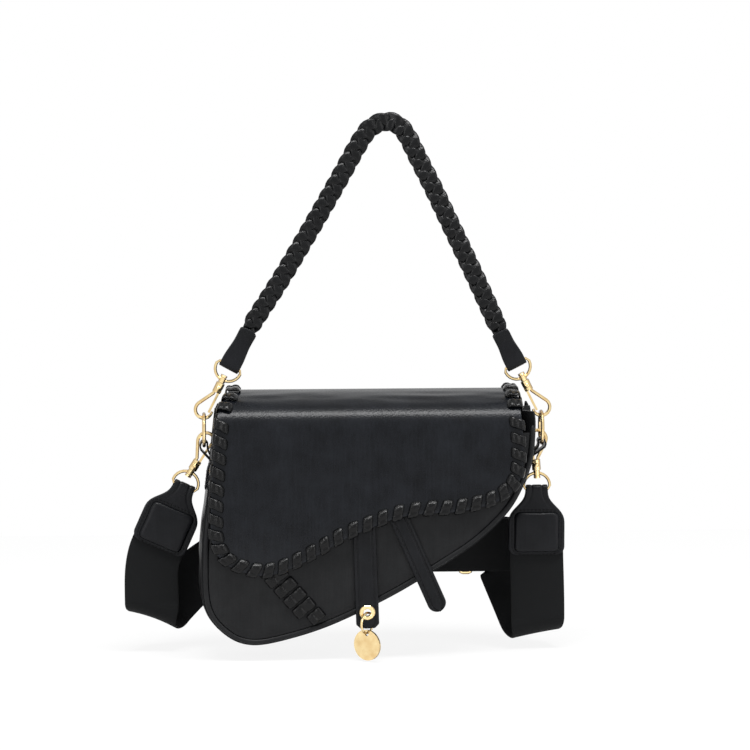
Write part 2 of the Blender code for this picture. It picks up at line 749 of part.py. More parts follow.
def slot_cutter(name, place, centres, inset, low, high):
    """One cutter with a slot for every pass of the lace."""
    bm = bmesh.new()
    half_long = LACE_WIDTH / 2 + SLOT_SLACK
    half_wide = LACE_THICKNESS / 2 + SLOT_SLACK
    for s in centres:
        ends = []
        for u in (low, high):
            ring = [(s - half_long, inset - half_wide), (s + half_long, inset - half_wide),
                    (s + half_long, inset + half_wide), (s - half_long, inset + half_wide)]
            ends.append([bm.verts.new(place(at, d, u)) for at, d in ring])
        lower, upper = ends
        for k in range(4):
            j = (k + 1) % 4
            bm.faces.new((lower[k], lower[j], upper[j], upper[k]))
        bm.faces.new(lower[::-1])
        bm.faces.new(upper)
    return add_object(name, bm, black_leather)


def edge_map(line, pattern):
    """Maps (s, d, u) along a laced edge of the pattern to the bag."""
    lengths = lengths_along(line)
    normals = inward_normals(line, down=True)

    def place(s, d, u):
        base = min(max(s, 0.0), lengths[-1])
        i = 0
        while i < len(lengths) - 2 and lengths[i + 1] < base:
            i += 1
        t = (base - lengths[i]) / (lengths[i + 1] - lengths[i])
        at = line[i].lerp(line[i + 1], t)
        along = (line[i + 1] - line[i]).normalized()
        normal = normals[i].lerp(normals[i + 1], t).normalized()
        at = at + along * (s - base) + normal * d
        return pattern.place(at.x, at.y, u)

    return place, lengths[-1]


def lace_starts(length, lead, tail, pitch):
    """Slot positions along an edge, an even pitch apart."""
    count = int((length - lead - tail) / pitch)
    step = (length - lead - tail) / count
    return [lead + step * i for i in range(count + 1)]


def add_flap():
    pattern = FlapPattern()
    front_u = CLEARANCE + LACE_THICKNESS / 2
    back_u = -LEATHER - front_u
    lap = LACE_OVERHANG
    line = flap_front_line(pattern)
    outline = [(p.x, p.y) for p in line]
    outline[0] = (outline[0][0], pattern.hinge_v + CLEARANCE)
    outline[-1] = (outline[-1][0], pattern.hinge_v + CLEARANCE)
    flap = pattern_sheet("flap_front", outline, -LEATHER, 0, black_leather, pattern)
    place, length = edge_map(line, pattern)
    lead = LACE_WIDTH / 2 + LACE_LEAN
    starts = lace_starts(length, lead, lead + LACE_LEAN, LACE_PITCH)
    lace_turns("flap_lacing", place, starts, LACE_LEAN, LACE_INSET, lap, front_u, back_u, lace)
    cutter = slot_cutter("flap_slots_shape", place, starts, LACE_INSET, -LEATHER - CUT_OVERRUN / 2,
                         CUT_OVERRUN / 2)
    add_boolean(flap, cutter, "DIFFERENCE")

    inner = inset_line(line, FLAP_LINING_INSET, down=True)
    hinge_line = pattern.hinge_v + FLAP_LINING_INSET / 4
    kept = [p for p in inner if p.y > hinge_line + EDGE_STEP / 2]
    lining = [(kept[0].x, hinge_line)] + [(p.x, p.y) for p in kept] + [(kept[-1].x, hinge_line)]
    lining_u = -LEATHER - CLEARANCE
    pattern_sheet("flap_lining", lining, lining_u - LINING, lining_u, lining_cloth, pattern)

    right, left = flap_top_sides(pattern)
    top = [(p.x, p.y) for p in right] + [(p.x, p.y) for p in reversed(left)]
    top_sheet = pattern_sheet("flap_top", top, -LEATHER, 0, black_leather, pattern,
                              row=ROW_HEIGHT / 2)
    for name, edge in (("right", right), ("left", list(reversed(left)))):
        laced = [p for p in edge
                 if TOP_LACED_FROM < p.y / pattern.hinge_v < TOP_LACED_TO]
        place, length = edge_map(laced, pattern)
        starts = lace_starts(length, LACE_WIDTH / 2, LACE_WIDTH / 2, LACE_PITCH)
        lace_turns(f"flap_top_lacing_{name}", place, starts, 0, LACE_INSET, lap,
                   front_u + TOP_LACE_GAP, back_u - TOP_LACE_GAP, lace, edges=(-0.5, 0.0, 0.5))
        cutter = slot_cutter(f"flap_top_slots_{name}_shape", place, starts, LACE_INSET,
                             -LEATHER - CUT_OVERRUN / 2, CUT_OVERRUN / 2)
        add_boolean(top_sheet, cutter, "DIFFERENCE")
    return pattern


def add_body():
    edge = body_edge()
    panel_edge = inset_line(edge, 2 * PIPING_RADIUS + CLEARANCE)
    front = bent_sheet("front_panel", clip_below(panel_edge, FRONT_PANEL_TOP), 0, LEATHER,
                       black_leather)
    add_cross_lacing(front)
    bent_sheet("back_panel", clip_below(panel_edge, BACK_PANEL_TOP), 0, LEATHER,
               black_leather, side=1)

    bead = inset_line(edge, PIPING_RADIUS)
    for name, side, top in (("front", -1, FRONT_PIPING_TOP), ("back", 1, BACK_PIPING_TOP)):
        points = [Vector((p.x, side * (half_depth(p.y) + PIPING_PROUD), p.y))
                  for p in clip_below(bead, top)]
        radii = [PIPING_RADIUS] * len(points)
        add_object(f"{name}_piping", swept_wire(points, radii, 5), black_leather)

    add_gusset(edge)
    add_lining(edge)

    pocket_low = POCKET_TOP - POCKET_HEIGHT
    left, right = POCKET_CENTRE - POCKET_WIDTH / 2, POCKET_CENTRE + POCKET_WIDTH / 2
    pocket = [(right, POCKET_TOP), (right, pocket_low), (left, pocket_low), (left, POCKET_TOP)]
    pocket_offset = -(LINING_SETBACK + LINING + CLEARANCE + LINING)
    bent_sheet("inner_pocket", pocket, pocket_offset, LINING, lining_cloth, side=1)


def gusset_fold(z):
    """How far the middle of the gusset is drawn in, near the top of the bag."""
    share = (z - GUSSET_FOLD_END) / (GUSSET_TOP - GUSSET_FOLD_END)
    return GUSSET_FOLD * min(max(share, 0.0), 1.0)


def add_gusset(edge):
    """The strip round the sides and bottom, folded inwards at its upper ends."""
    line = clip_below(inset_line(edge, GUSSET_SETBACK), GUSSET_TOP)
    normals = inward_normals(line)
    across_shares = (-1.0, 0.0, 1.0)
    bm = bmesh.new()
    grid = []
    inward = {}
    for p, normal in zip(line, normals):
        half = half_depth(p.y) + PIPING_PROUD - PIPING_RADIUS - CLEARANCE
        side = -1 if p.x > 0 else 1
        row = []
        for share in across_shares:
            fold = gusset_fold(p.y) * math.cos(share * math.pi / 2)
            v = bm.verts.new((p.x + side * fold, share * half, p.y))
            inward[v] = Vector((normal.x, 0, normal.y)) * LEATHER
            row.append(v)
        grid.append(row)
    for a, b in zip(grid, grid[1:]):
        for k in range(len(across_shares) - 1):
            bm.faces.new((a[k], a[k + 1], b[k + 1], b[k]))
    thicken(bm, inward)
    add_object("gusset", bm, black_leather)


def thicken(bm, moves):
    """Extrude a whole sheet, each new corner moved by its own vector."""
    moved = [(v.co.copy(), moves[v]) for v in bm.verts]
    grown = bmesh.ops.extrude_face_region(bm, geom=bm.faces[:])["geom"]
    fresh = [v for v in grown if isinstance(v, bmesh.types.BMVert)]
    for v in fresh:
        nearest = min(moved, key=lambda pair: (pair[0] - v.co).length_squared)
        v.co += nearest[1]


def add_lining(edge):
    """A cloth bag inside the leather one, open at the top, with a hem sewn to the front."""
    inner = inset_line(edge, 2 * PIPING_RADIUS + 2 * CLEARANCE)
    bottom = min(p.y for p in inner) + LINING_BOTTOM_RISE
    levels = [LINING_TOP, LINING_TOP - HEM_HEIGHT, LINING_TOP - HEM_HEIGHT - LINING_SETBACK]
    z = math.floor(levels[-1] / ROW_HEIGHT) * ROW_HEIGHT
    while z > bottom + ROW_HEIGHT / 2:
        levels.append(z)
        z -= ROW_HEIGHT / (2 if z < bottom + 3 * ROW_HEIGHT else 1)
    levels.append(bottom)
    side_shares = (0.0,)
    bm = bmesh.new()
    loops = []
    for i, z in enumerate(levels):
        right, left = spans_at(inner, z)
        setback = CLEARANCE if i < 2 else LINING_SETBACK
        half = half_depth(z) - setback
        ring = [(right, -half)]
        ring += [(right - gusset_fold(z) * math.cos(s * math.pi / 2), s * half) for s in side_shares]
        ring += [(right, half), (left, half)]
        ring += [(left + gusset_fold(z) * math.cos(s * math.pi / 2), -s * half) for s in side_shares]
        ring.append((left, -half))
        loops.append([bm.verts.new((x, y, z)) for x, y in ring])
    count = len(loops[0])
    for a, b in zip(loops, loops[1:]):
        for k in range(count):
            j = (k + 1) % count
            bm.faces.new((a[k], a[j], b[j], b[k]))
    bm.faces.new(loops[-1])
    lining = add_object("lining", bm, lining_cloth)
    wall = lining.modifiers.new("Wall", "SOLIDIFY")
    wall.thickness = LINING
    wall.offset = -1.0
    wall.use_even_offset = True


def add_cross_lacing(front):
    """The bars laced through the front panel, below the flap."""
    first = on_bag(CROSS_BAR_START_SHARES)
    start = Vector((first.x, 0, first.y))
    across = Vector((math.cos(CROSS_BAR_TILT), 0, math.sin(CROSS_BAR_TILT)))
    along = Vector((math.sin(CROSS_BAR_TILT), 0, -math.cos(CROSS_BAR_TILT)))
    widen = CROSS_BAR_WIDTH / LACE_WIDTH

    def place(s, d, u):
        at = start + along * s + across * d
        at.y = -(half_depth(at.z) + u)
        return at

    def wide(s, d, u):
        bar = round(s / CROSS_BAR_PITCH)
        middle = bar * CROSS_BAR_PITCH
        if bar == CROSS_BAR_COUNT - 1 and d < 0:
            d *= CROSS_BAR_LAST_SHARE
        return place(middle + (s - middle) * widen, d, u)

    starts = [CROSS_BAR_PITCH * i for i in range(CROSS_BAR_COUNT)]
    front_u = LEATHER + CLEARANCE + LACE_THICKNESS / 2
    back_u = -CLEARANCE - LACE_THICKNESS / 2
    half = CROSS_BAR_LENGTH / 2
    lace_turns("front_cross_lacing", wide, starts, 0, half, half, front_u, back_u, lace)
    for name, d in (("near", -half), ("far", half)):
        cutter = slot_cutter(f"cross_slots_{name}_shape", wide, starts, d,
                             -CUT_OVERRUN / 2, LEATHER + CUT_OVERRUN / 2)
        add_boolean(front, cutter, "DIFFERENCE")


def strap_frame(top_shares, end_shares):
    """A front strap's upper and lower end, with its directions down and to the right."""
    top, end = on_bag(top_shares), on_bag(end_shares)
    down = (end - top).normalized()
    return top, end, down, Vector((-down.y, down.x))


def add_front_straps():
    """The upright strap with its eyelet and the slanted one, both sewn under the flap."""
    top, end, down, right = strap_frame(CHARM_STRAP_TOP_SHARES, CHARM_STRAP_END_SHARES)
    half, cut = CHARM_STRAP_WIDTH / 2, CHARM_STRAP_CHAMFER
    outline = [top + right * half, end + right * half - down * cut, end + right * (half - cut),
               end - right * (half - cut), end - right * half - down * cut, top - right * half]
    strap = bent_sheet("charm_strap", outline, strap_layer(), FRONT_STRAP_THICKNESS, black_leather,
                       depth=lifted_depth)

    eye = end - down * EYELET_RISE
    lean = Matrix.Rotation(math.atan(depth_slope(lifted_depth, eye.y)), 4, "X")
    middle = lifted_depth(eye.y) + strap_layer() + FRONT_STRAP_THICKNESS / 2
    eye_frame = Matrix.Translation((eye.x, -middle, eye.y)) @ lean
    hole = add_object("eyelet_hole_shape",
                      cylinder(EYELET_BARREL + CLEARANCE, -CUT_OVERRUN, CUT_OVERRUN, 20, "Y"), gold)
    hole.matrix_local = eye_frame
    add_boolean(strap, hole, "DIFFERENCE")
    add_eyelet(eye_frame)

    top, end, down, right = strap_frame(SLANT_STRAP_TOP_SHARES, SLANT_STRAP_END_SHARES)
    half = SLANT_STRAP_WIDTH / 2
    centre = end - down * half
    outline = [top + right * half]
    steps = 8
    for i in range(steps + 1):
        angle = math.pi * i / steps
        outline.append(centre + right * math.cos(angle) * half + down * math.sin(angle) * half)
    outline.append(top - right * half)
    bent_sheet("slanted_strap", outline, strap_layer(), FRONT_STRAP_THICKNESS, black_leather)
    return eye_frame


def lifted_depth(z):
    """The depth curve of the upright strap, which rises to pass over the piping."""
    span = CHARM_STRAP_LIFT_END_SHARE - CHARM_STRAP_LIFT_TOP_SHARE
    share = (z / BAG_HEIGHT - CHARM_STRAP_LIFT_TOP_SHARE) / span
    share = min(max(share, 0.0), 1.0)
    return half_depth(z) + CHARM_STRAP_LIFT * share * share * (3 - 2 * share)


def depth_slope(depth, z):
    step = ROW_HEIGHT / 8
    return (depth(z + step) - depth(z - step)) / (2 * step)


def add_eyelet(eye_frame):
    """A turned eyelet: a barrel through the strap with a flange on both faces."""
    face = FRONT_STRAP_THICKNESS / 2 + CLEARANCE
    rim = EYELET_FLANGE
    profile = [(EYELET_BORE, -face - rim / 2), (EYELET_BARREL, -face - rim),
               (EYELET_RADIUS - rim, -face - rim), (EYELET_RADIUS, -face),
               (EYELET_BARREL, -face), (EYELET_BARREL, face), (EYELET_RADIUS, face),
               (EYELET_RADIUS - rim, face + rim), (EYELET_BARREL, face + rim),
               (EYELET_BORE, face + rim / 2)]
    bm = bmesh.new()
    ring = [bm.verts.new((r, y, 0)) for r, y in profile]
    edges = [bm.edges.new((ring[k], ring[(k + 1) % len(ring)])) for k in range(len(ring))]
    bmesh.ops.spin(bm, geom=ring + edges, cent=(0, 0, 0), axis=(0, 1, 0),
                   angle=2 * math.pi, steps=16, use_merge=True, use_duplicate=False)
    bmesh.ops.remove_doubles(bm, verts=bm.verts[:], dist=POINT_TOLERANCE)
    eyelet = add_object("eyelet", bm, gold)
    eyelet.matrix_local = eye_frame


def add_charm(eye_frame):
    """The ring through the eyelet and the plain disc on the ring's lowest point."""
    eye = eye_frame.translation
    turn = Matrix.Rotation(CHARM_RING_TURN, 4, "Z")
    centre = eye - Vector((0, 0, CHARM_RING_SAG + CHARM_RING_RADIUS))
    ring = add_object("charm_ring", torus(CHARM_RING_RADIUS, CHARM_RING_WIRE, 24, 6), gold)
    ring.matrix_local = Matrix.Translation(centre) @ turn

    low = eye - Vector((0, 0, CHARM_RING_SAG + 2 * CHARM_RING_RADIUS))
    drop = CHARM_DISC_RADIUS - CHARM_DISC_HOLE_RIM
    disc = add_object("charm_disc", cylinder(CHARM_DISC_RADIUS, -CHARM_DISC_THICKNESS / 2,
                                             CHARM_DISC_THICKNESS / 2, 32, "Y"), gold)
    hang = CHARM_DISC_HOLE - CHARM_RING_WIRE - CLEARANCE
    placed = Matrix.Translation(low - Vector((0, 0, hang))) @ turn
    shifted = placed @ Matrix.Translation((0, 0, -drop))
    disc.matrix_local = shifted
    hole = add_object("charm_disc_hole_shape",
                      cylinder(CHARM_DISC_HOLE, -CUT_OVERRUN, CUT_OVERRUN, 16, "Y"), gold)
    hole.matrix_local = placed
    add_boolean(disc, hole, "DIFFERENCE")


def add_magnets():
    """Thin snap: the socket on the front panel, the stud on the flap's lining."""
    x, z = on_bag(MAGNET_CENTRE_SHARES)
    lean = Matrix.Rotation(math.atan(depth_slope(half_depth, z)), 4, "X")
    socket_low = LEATHER + 2 * CLEARANCE
    stud_low = socket_low + MAGNET_PLATE + CLEARANCE
    for name, low in (("magnet_socket", socket_low), ("magnet_stud", stud_low)):
        middle = half_depth(z) + low + MAGNET_PLATE / 2
        plate = add_object(name, cylinder(MAGNET_RADIUS, -MAGNET_PLATE / 2, MAGNET_PLATE / 2,
                                          24, "Y"), steel)
        plate.matrix_local = Matrix.Translation((x, -middle, z)) @ lean


def add_side_rings(edge):
    """The round side rings and the leather tabs folded round their lowest point."""
    for name, side, end_z in (("left", -1, SIDE_TAB_LEFT_END_Z), ("right", 1, SIDE_TAB_RIGHT_END_Z)):
        ring = add_object(f"side_ring_{name}", torus(SIDE_RING_RADIUS, SIDE_RING_WIRE, 28, 8), gold)
        ring.location = (side * SIDE_RING_X, 0, SIDE_RING_Z)
        add_side_tab(f"side_tab_{name}", side, end_z, edge)


def add_side_tab(name, side, end_z, edge):
    """Two layers from the gusset's face up and round the ring's wire in a tall loop."""
    leather = SIDE_TAB_LEATHER
    half = SIDE_TAB_WIDTH / 2
    rise = SIDE_RING_RADIUS - math.sqrt(SIDE_RING_RADIUS ** 2 - half ** 2)
    radius = SIDE_RING_WIRE + 2 * CLEARANCE + leather / 2
    wire_z = SIDE_RING_Z - SIDE_RING_RADIUS
    loop_x = side * SIDE_RING_X
    seat = []
    steps = 5
    first_z = wire_z - SIDE_TAB_WIDTH
    for i in range(steps + 1):
        z = first_z + (end_z - first_z) * i / steps
        right, left = spans_at(edge, z)
        drawn_in = gusset_fold(z) * (1 - half / half_depth(z))
        face = (right if side > 0 else left) - side * (GUSSET_SETBACK + drawn_in)
        seat.append(Vector((face, z)))
    inner = [p + Vector((side * (CLEARANCE * 2 + leather / 2), 0)) for p in seat]
    outer = [p + Vector((side * (leather + CLEARANCE), 0)) for p in inner]
    bend = []
    for i in range(9):
        angle = math.pi * i / 8
        bend.append(Vector((loop_x - side * math.cos(angle) * radius,
                            wire_z + rise + math.sin(angle) * radius)))
    low_z = wire_z - radius
    low_in = Vector((loop_x - side * radius, low_z))
    low_out = Vector((loop_x + side * radius, low_z))
    line = list(reversed(inner)) + [low_in] + bend + [low_out] + outer
    across = Vector((0, 1, 0))
    stations = [(Vector((p.x, 0, p.y)), across, SIDE_TAB_WIDTH) for p in line]
    ribbon(name, stations, leather, black_leather)


def add_handle(places):
    """The braided grip and, at both ends, a leather tab folded round the D-ring's bar."""
    path = smooth_through(scaled(HANDLE_PATH_SHARES, HANDLE_SPAN, HANDLE_RISE), 2)
    line = [Vector((p.x, 0, p.y)) for p in path]
    radii = [BRAID_HALF_THICKNESS] * len(line)
    add_object("handle_braid", swept_wire(line, radii, 8,
                                          flatten=BRAID_HALF_WIDTH / BRAID_HALF_THICKNESS),
               black_leather)
    ends = {"left": line[0], "right": line[-1]}
    for name in ("left", "right"):
        place = places[f"handle_{name}"]
        boss = boss_centre(place)
        direction = (ends[name] - boss).normalized()
        bar = add_d_ring(f"handle_d_ring_{name}", place, direction)
        across = Vector((direction.z, 0, -direction.x))
        reach = (ends[name] - bar).length - CLEARANCE - 2 * CLEARANCE
        widths = [(0, HANDLE_TAB_WIDTH), (reach / 3, HANDLE_TAB_WIDTH), (reach, HANDLE_TAB_WIDTH)]
        folded_tab(f"handle_tab_{name}", bar, direction, across, widths, HANDLE_TAB_LEATHER,
                   2 * CLEARANCE, black_leather)


def fold_stations(centre, travel, across, axis, radius, width, steps=8):
    """A half turn of a strip about a slanted fold line, seen as a wrap round a rod."""
    stations = []
    slide = travel.dot(axis)
    cross = (travel - axis * slide)
    pace = slide / cross.length
    cross.normalize()
    depth = axis.cross(cross)
    if depth.y < 0:
        depth = -depth
    turn_sign = 1 if axis.cross(cross).dot(depth) > 0 else -1
    for i in range(steps + 1):
        angle = math.pi * i / steps
        offset = cross * math.sin(angle) * radius + depth * (1 - math.cos(angle)) * radius
        offset += axis * pace * radius * angle
        turned = Matrix.Rotation(turn_sign * angle, 3, axis) @ across
        stations.append((centre + offset, turned, width))
    return stations, Matrix.Rotation(turn_sign * math.pi, 3, axis) @ travel


def blend_stations(start, end, steps, bulge=0.35):
    """A smooth stretch of strip between two stations of (centre, travel, across, width)."""
    c0, t0, a0, w0 = start
    c1, t1, a1, w1 = end
    pull = (c1 - c0).length * bulge * 3
    stations = []
    for i in range(1, steps):
        t = i / steps
        h00 = 2 * t ** 3 - 3 * t ** 2 + 1
        h10 = t ** 3 - 2 * t ** 2 + t
        h01 = 3 * t ** 2 - 2 * t ** 3
        h11 = t ** 3 - t ** 2
        centre = c0 * h00 + t0 * (h10 * pull) + c1 * h01 + t1 * (h11 * pull)
        ease = t * t * (3 - 2 * t)
        stations.append((centre, a0.lerp(a1, ease).normalized(), w0 + (w1 - w0) * ease))
    return stations


def arc_stations(centre, radius, start, end, steps, z_axis, width):
    """Part of a turn in the XY plane, for a strip that stands on edge."""
    stations = []
    for i in range(steps + 1):
        angle = math.radians(start + (end - start) * i / steps)
        stations.append((centre + Vector((math.cos(angle), math.sin(angle), 0)) * radius,
                         z_axis, width))
    return stations


def add_strap(places):
    """The shoulder strap: tabs, both webbings, their ring and the slider."""
    directions = {
        "left": Vector((-math.sin(LEFT_STRAP_RING_TILT), 0, -math.cos(LEFT_STRAP_RING_TILT))),
        "right": Vector((-math.sin(RIGHT_STRAP_RING_TILT), 0, -math.cos(RIGHT_STRAP_RING_TILT))),
    }
    tab_directions = {"left": directions["left"], "right": Vector((0, 0, -1))}
    inner_gap = WEBBING_THICKNESS + 2 * CLEARANCE
    length = STRAP_TAB_LENGTH
    widths = [(0, STRAP_TAB_NECK), (length * 0.13, STRAP_TAB_NECK + STRAP_TAB_LEATHER),
              (length * 0.38, STRAP_TAB_WIDTH * 0.93), (length * 0.47, STRAP_TAB_WIDTH),
              (length * 0.95, STRAP_TAB_WIDTH), (length, STRAP_TAB_WIDTH * 0.95)]
    starts = {}
    for name in ("left", "right"):
        place = places[f"strap_{name}"]
        bar = add_d_ring(f"strap_d_ring_{name}", place, directions[name])
        direction = tab_directions[name]
        across = Vector((-direction.z, 0, direction.x))
        folded_tab(f"strap_tab_{name}", bar, direction, across, widths, STRAP_TAB_LEATHER,
                   inner_gap, black_leather)
        starts[name] = (bar + direction * (length - WEBBING_OVERLAP), direction, across)
        add_strap_pad(name, bar, direction, across, inner_gap)
    add_long_webbing(starts["left"])
    add_short_webbing(starts["right"])
    add_strap_ring()
    add_slider()


def add_strap_pad(name, bar, direction, across, inner_gap):
    """The raised square on the front of a strap tab."""
    facing = Vector((0, -1, 0))
    middle = bar + direction * (STRAP_TAB_LENGTH * 0.73)
    middle += facing * (inner_gap / 2 + STRAP_TAB_LEATHER + CLEARANCE)
    half_w, half_h = STRAP_TAB_PAD_WIDTH / 2, STRAP_TAB_PAD_HEIGHT / 2
    corner = STRAP_TAB_PAD_CORNER
    bm = bmesh.new()
    outline = []
    for sx, sz, first in ((1, 1, 0), (-1, 1, 90), (-1, -1, 180), (1, -1, 270)):
        for i in range(4):
            angle = math.radians(first + 30 * i)
            x = sx * (half_w - corner) + math.cos(angle) * corner
            z = sz * (half_h - corner) + math.sin(angle) * corner
            outline.append(bm.verts.new(middle + across * x - direction * z))
    face = bm.faces.new(outline)
    grown = bmesh.ops.extrude_face_region(bm, geom=[face])["geom"]
    fresh = [v for v in grown if isinstance(v, bmesh.types.BMVert)]
    bmesh.ops.translate(bm, verts=fresh, vec=facing * STRAP_TAB_PAD_THICKNESS)
    add_object(f"strap_tab_pad_{name}", bm, black_leather)


def add_long_webbing(start):
    """From the left tab, round a soft fold, behind the bag, out to the loop on the right,
    back to the ring and home to the slider."""
    centre, direction, across = start
    width = WEBBING_WIDTH
    down = Vector((0, 0, -1))
    level = Vector((1, 0, 0))
    stations = [(centre, across, width)]
    leave = centre + direction * WEBBING_OVERLAP
    stations.append((leave, across, width))
    fold_top = Vector((leave.x - LEFT_FOLD_SHIFT, leave.y, LEFT_FOLD_Z))
    stations += blend_stations((leave, direction, across, width), (fold_top, down, level, width), 4)
    axis = Vector((math.cos(LEFT_FOLD_SLOPE), 0, math.sin(LEFT_FOLD_SLOPE)))
    folded, onward = fold_stations(fold_top, down, level, axis, LEFT_FOLD_RADIUS, width)
    stations += folded
    last = folded[-1]
    back_x = -BAG_WIDTH / 3
    behind = Vector((back_x, STRAP_BACK_Y, STRAP_BACK_Z))
    upright = Vector((0, 0, 1)) if last[1].z > 0 else Vector((0, 0, -1))
    stations += blend_stations((last[0], onward, last[1], width), (behind, level, upright, width), 8)
    z_axis = upright
    stations.append((behind, z_axis, width))

    pitch = WEBBING_THICKNESS + CLEARANCE * 4
    loop_far = STRAP_BACK_Y + 2 * STRAP_LOOP_RADIUS
    loop_centre = Vector((STRAP_LOOP_X, STRAP_BACK_Y + STRAP_LOOP_RADIUS, STRAP_BACK_Z))
    stations += arc_stations(loop_centre, STRAP_LOOP_RADIUS, -90, 90, 8, z_axis, width)
    wrap = STRAP_RING_WIRE + CLEARANCE + WEBBING_THICKNESS / 2
    bar_centre = Vector((STRAP_RING_X + STRAP_RING_HALF_WIDTH, loop_far - wrap, STRAP_BACK_Z))
    stations += arc_stations(bar_centre, wrap, 90, 270, 8, z_axis, width)
    inner_y = bar_centre.y - wrap
    inner_far = STRAP_BACK_Y + pitch
    inner_radius = (inner_y - inner_far) / 2
    inner_centre = Vector((STRAP_LOOP_X - pitch, inner_y - inner_radius, STRAP_BACK_Z))
    stations += arc_stations(inner_centre, inner_radius, 90, -90, 8, z_axis, width)
    slider_wrap = SLIDER_BAR + CLEARANCE + WEBBING_THICKNESS / 2
    slider_centre = Vector((0, inner_far + slider_wrap, STRAP_BACK_Z))
    stations += arc_stations(slider_centre, slider_wrap, -90, -270, 8, z_axis, width)
    end = slider_centre + Vector((WEBBING_OVERLAP, slider_wrap, 0))
    stations.append((end, z_axis, width))
    ribbon("webbing_long", stations, WEBBING_THICKNESS, webbing)


def ring_y():
    return STRAP_BACK_Y + 2 * STRAP_LOOP_RADIUS - (STRAP_RING_WIRE + CLEARANCE
                                                   + WEBBING_THICKNESS / 2)


def add_short_webbing(start):
    """From the right tab, round the low fold and up behind the bag to the ring."""
    centre, direction, across = start
    width = WEBBING_WIDTH
    down = Vector((0, 0, -1))
    level = across
    stations = [(centre, across, width)]
    fold_top = Vector((centre.x + RIGHT_FOLD_SHIFT, centre.y, RIGHT_FOLD_Z))
    stations += blend_stations((centre, down, across, width), (fold_top, down, level, width), 5)
    axis = Vector((math.cos(RIGHT_FOLD_SLOPE), 0, math.sin(RIGHT_FOLD_SLOPE)))
    folded, onward = fold_stations(fold_top, down, level, axis, RIGHT_FOLD_RADIUS, width)
    stations += folded
    last = folded[-1]
    wrap = STRAP_RING_WIRE + CLEARANCE + WEBBING_THICKNESS / 2
    bar = Vector((STRAP_RING_X - STRAP_RING_HALF_WIDTH, ring_y(), STRAP_BACK_Z))
    upright = Vector((0, 0, 1)) if last[1].z > 0 else Vector((0, 0, -1))
    clear_y = STRAP_BACK_Y + 2 * STRAP_LOOP_RADIUS + WEBBING_THICKNESS + 4 * CLEARANCE
    over = Vector((STRAP_LOOP_X - STRAP_LOOP_RADIUS * 2, clear_y, STRAP_BACK_Z))
    leftward = Vector((-1, 0, 0))
    risen = last[0] + onward * SHORT_RUN_RISE
    risen.y = clear_y
    stations += blend_stations((last[0], onward, last[1], width),
                               (risen, onward, last[1], width), 4)
    stations.append((risen, last[1], width))
    stations += blend_stations((risen, onward, last[1], width),
                               (over, leftward, upright, width), 6)
    stations.append((over, upright, width))
    past = Vector((STRAP_RING_X + STRAP_RING_HALF_WIDTH, clear_y, STRAP_BACK_Z))
    stations.append((past, upright, width))
    stations += arc_stations(bar, wrap, 80, 265, 8, upright, width)
    ribbon("webbing_short", stations, WEBBING_THICKNESS, webbing)


def rectangle_ring(half_width, half_height, corner, radius):
    """A closed wire rectangle in the local XZ plane."""
    points = []
    for sx, sz, first in ((1, 1, 0), (-1, 1, 90), (-1, -1, 180), (1, -1, 270)):
        for i in range(3):
            angle = math.radians(first + 45 * i)
            points.append(Vector((sx * (half_width - corner) + math.cos(angle) * corner, 0,
                                  sz * (half_height - corner) + math.sin(angle) * corner)))
    return swept_wire(points, [radius] * len(points), 8, closed=True)


def add_strap_ring():
    half_height = WEBBING_WIDTH / 2 + STRAP_RING_WIRE + 2 * CLEARANCE
    bm = rectangle_ring(STRAP_RING_HALF_WIDTH, half_height, STRAP_RING_WIRE * RING_CORNER_SHARE,
                        STRAP_RING_WIRE)
    ring = add_object("strap_ring", bm, gold)
    ring.location = (STRAP_RING_X, ring_y(), STRAP_BACK_Z)


def add_slider():
    """The three-bar slider: two bars on the bag's side of the webbing, one behind it."""
    half_height = WEBBING_WIDTH / 2 + SLIDER_BAR + 2 * CLEARANCE
    front_y = STRAP_BACK_Y - WEBBING_THICKNESS / 2 - 2 * CLEARANCE - SLIDER_BAR
    back_y = STRAP_BACK_Y + WEBBING_THICKNESS + CLEARANCE * 4 + SLIDER_BAR + CLEARANCE
    back_y += WEBBING_THICKNESS / 2
    bm = rectangle_ring(SLIDER_HALF_WIDTH, half_height, SLIDER_BAR * RING_CORNER_SHARE, SLIDER_BAR)
    slider = add_object("strap_slider", bm, gold)
    slider.location = (0, front_y, STRAP_BACK_Z)
    bar = add_object("slider_bar_shape", cylinder(SLIDER_BAR, -half_height, half_height, 8), gold)
    bar.location = (0, back_y, STRAP_BACK_Z)
    add_boolean(slider, bar, "UNION")
    for name, side in (("top", 1), ("bottom", -1)):
        link = add_object(f"slider_link_{name}_shape",
                          cylinder(SLIDER_BAR, -back_y, -front_y, 8, "Y"), gold)
        link.location = (0, 0, STRAP_BACK_Z + side * half_height)
        add_boolean(slider, link, "UNION")


for old in list(bpy.data.objects):
    bpy.data.objects.remove(old, do_unlink=True)

black_leather = make_material("black_leather", (0.018, 0.018, 0.020), 0.42, 0.0)
lace = make_material("lace_leather", (0.014, 0.014, 0.015), 0.36, 0.0)
lining_cloth = make_material("lining_cloth", (0.030, 0.030, 0.033), 0.85, 0.0)
webbing = make_material("webbing", (0.016, 0.016, 0.018), 0.80, 0.0)
gold = make_material("gold_metal", (0.830, 0.610, 0.270), 0.18, 1.0)
steel = make_material("snap_steel", (0.620, 0.620, 0.640), 0.30, 1.0)

bag_frame = bpy.data.objects.new("bag_frame", None)
bpy.context.scene.collection.objects.link(bag_frame)
bag_frame.location = (-HANDLE_APEX_SHARE * HANDLE_SPAN, 0, -(HANDLE_RISE - BRAID_HALF_THICKNESS))

add_body()
add_flap()
eye_place = add_front_straps()
add_charm(eye_place)
add_magnets()
add_side_rings(body_edge())
hooks = hook_places()
add_hooks(hooks)
add_handle(hooks)
add_strap(hooks)
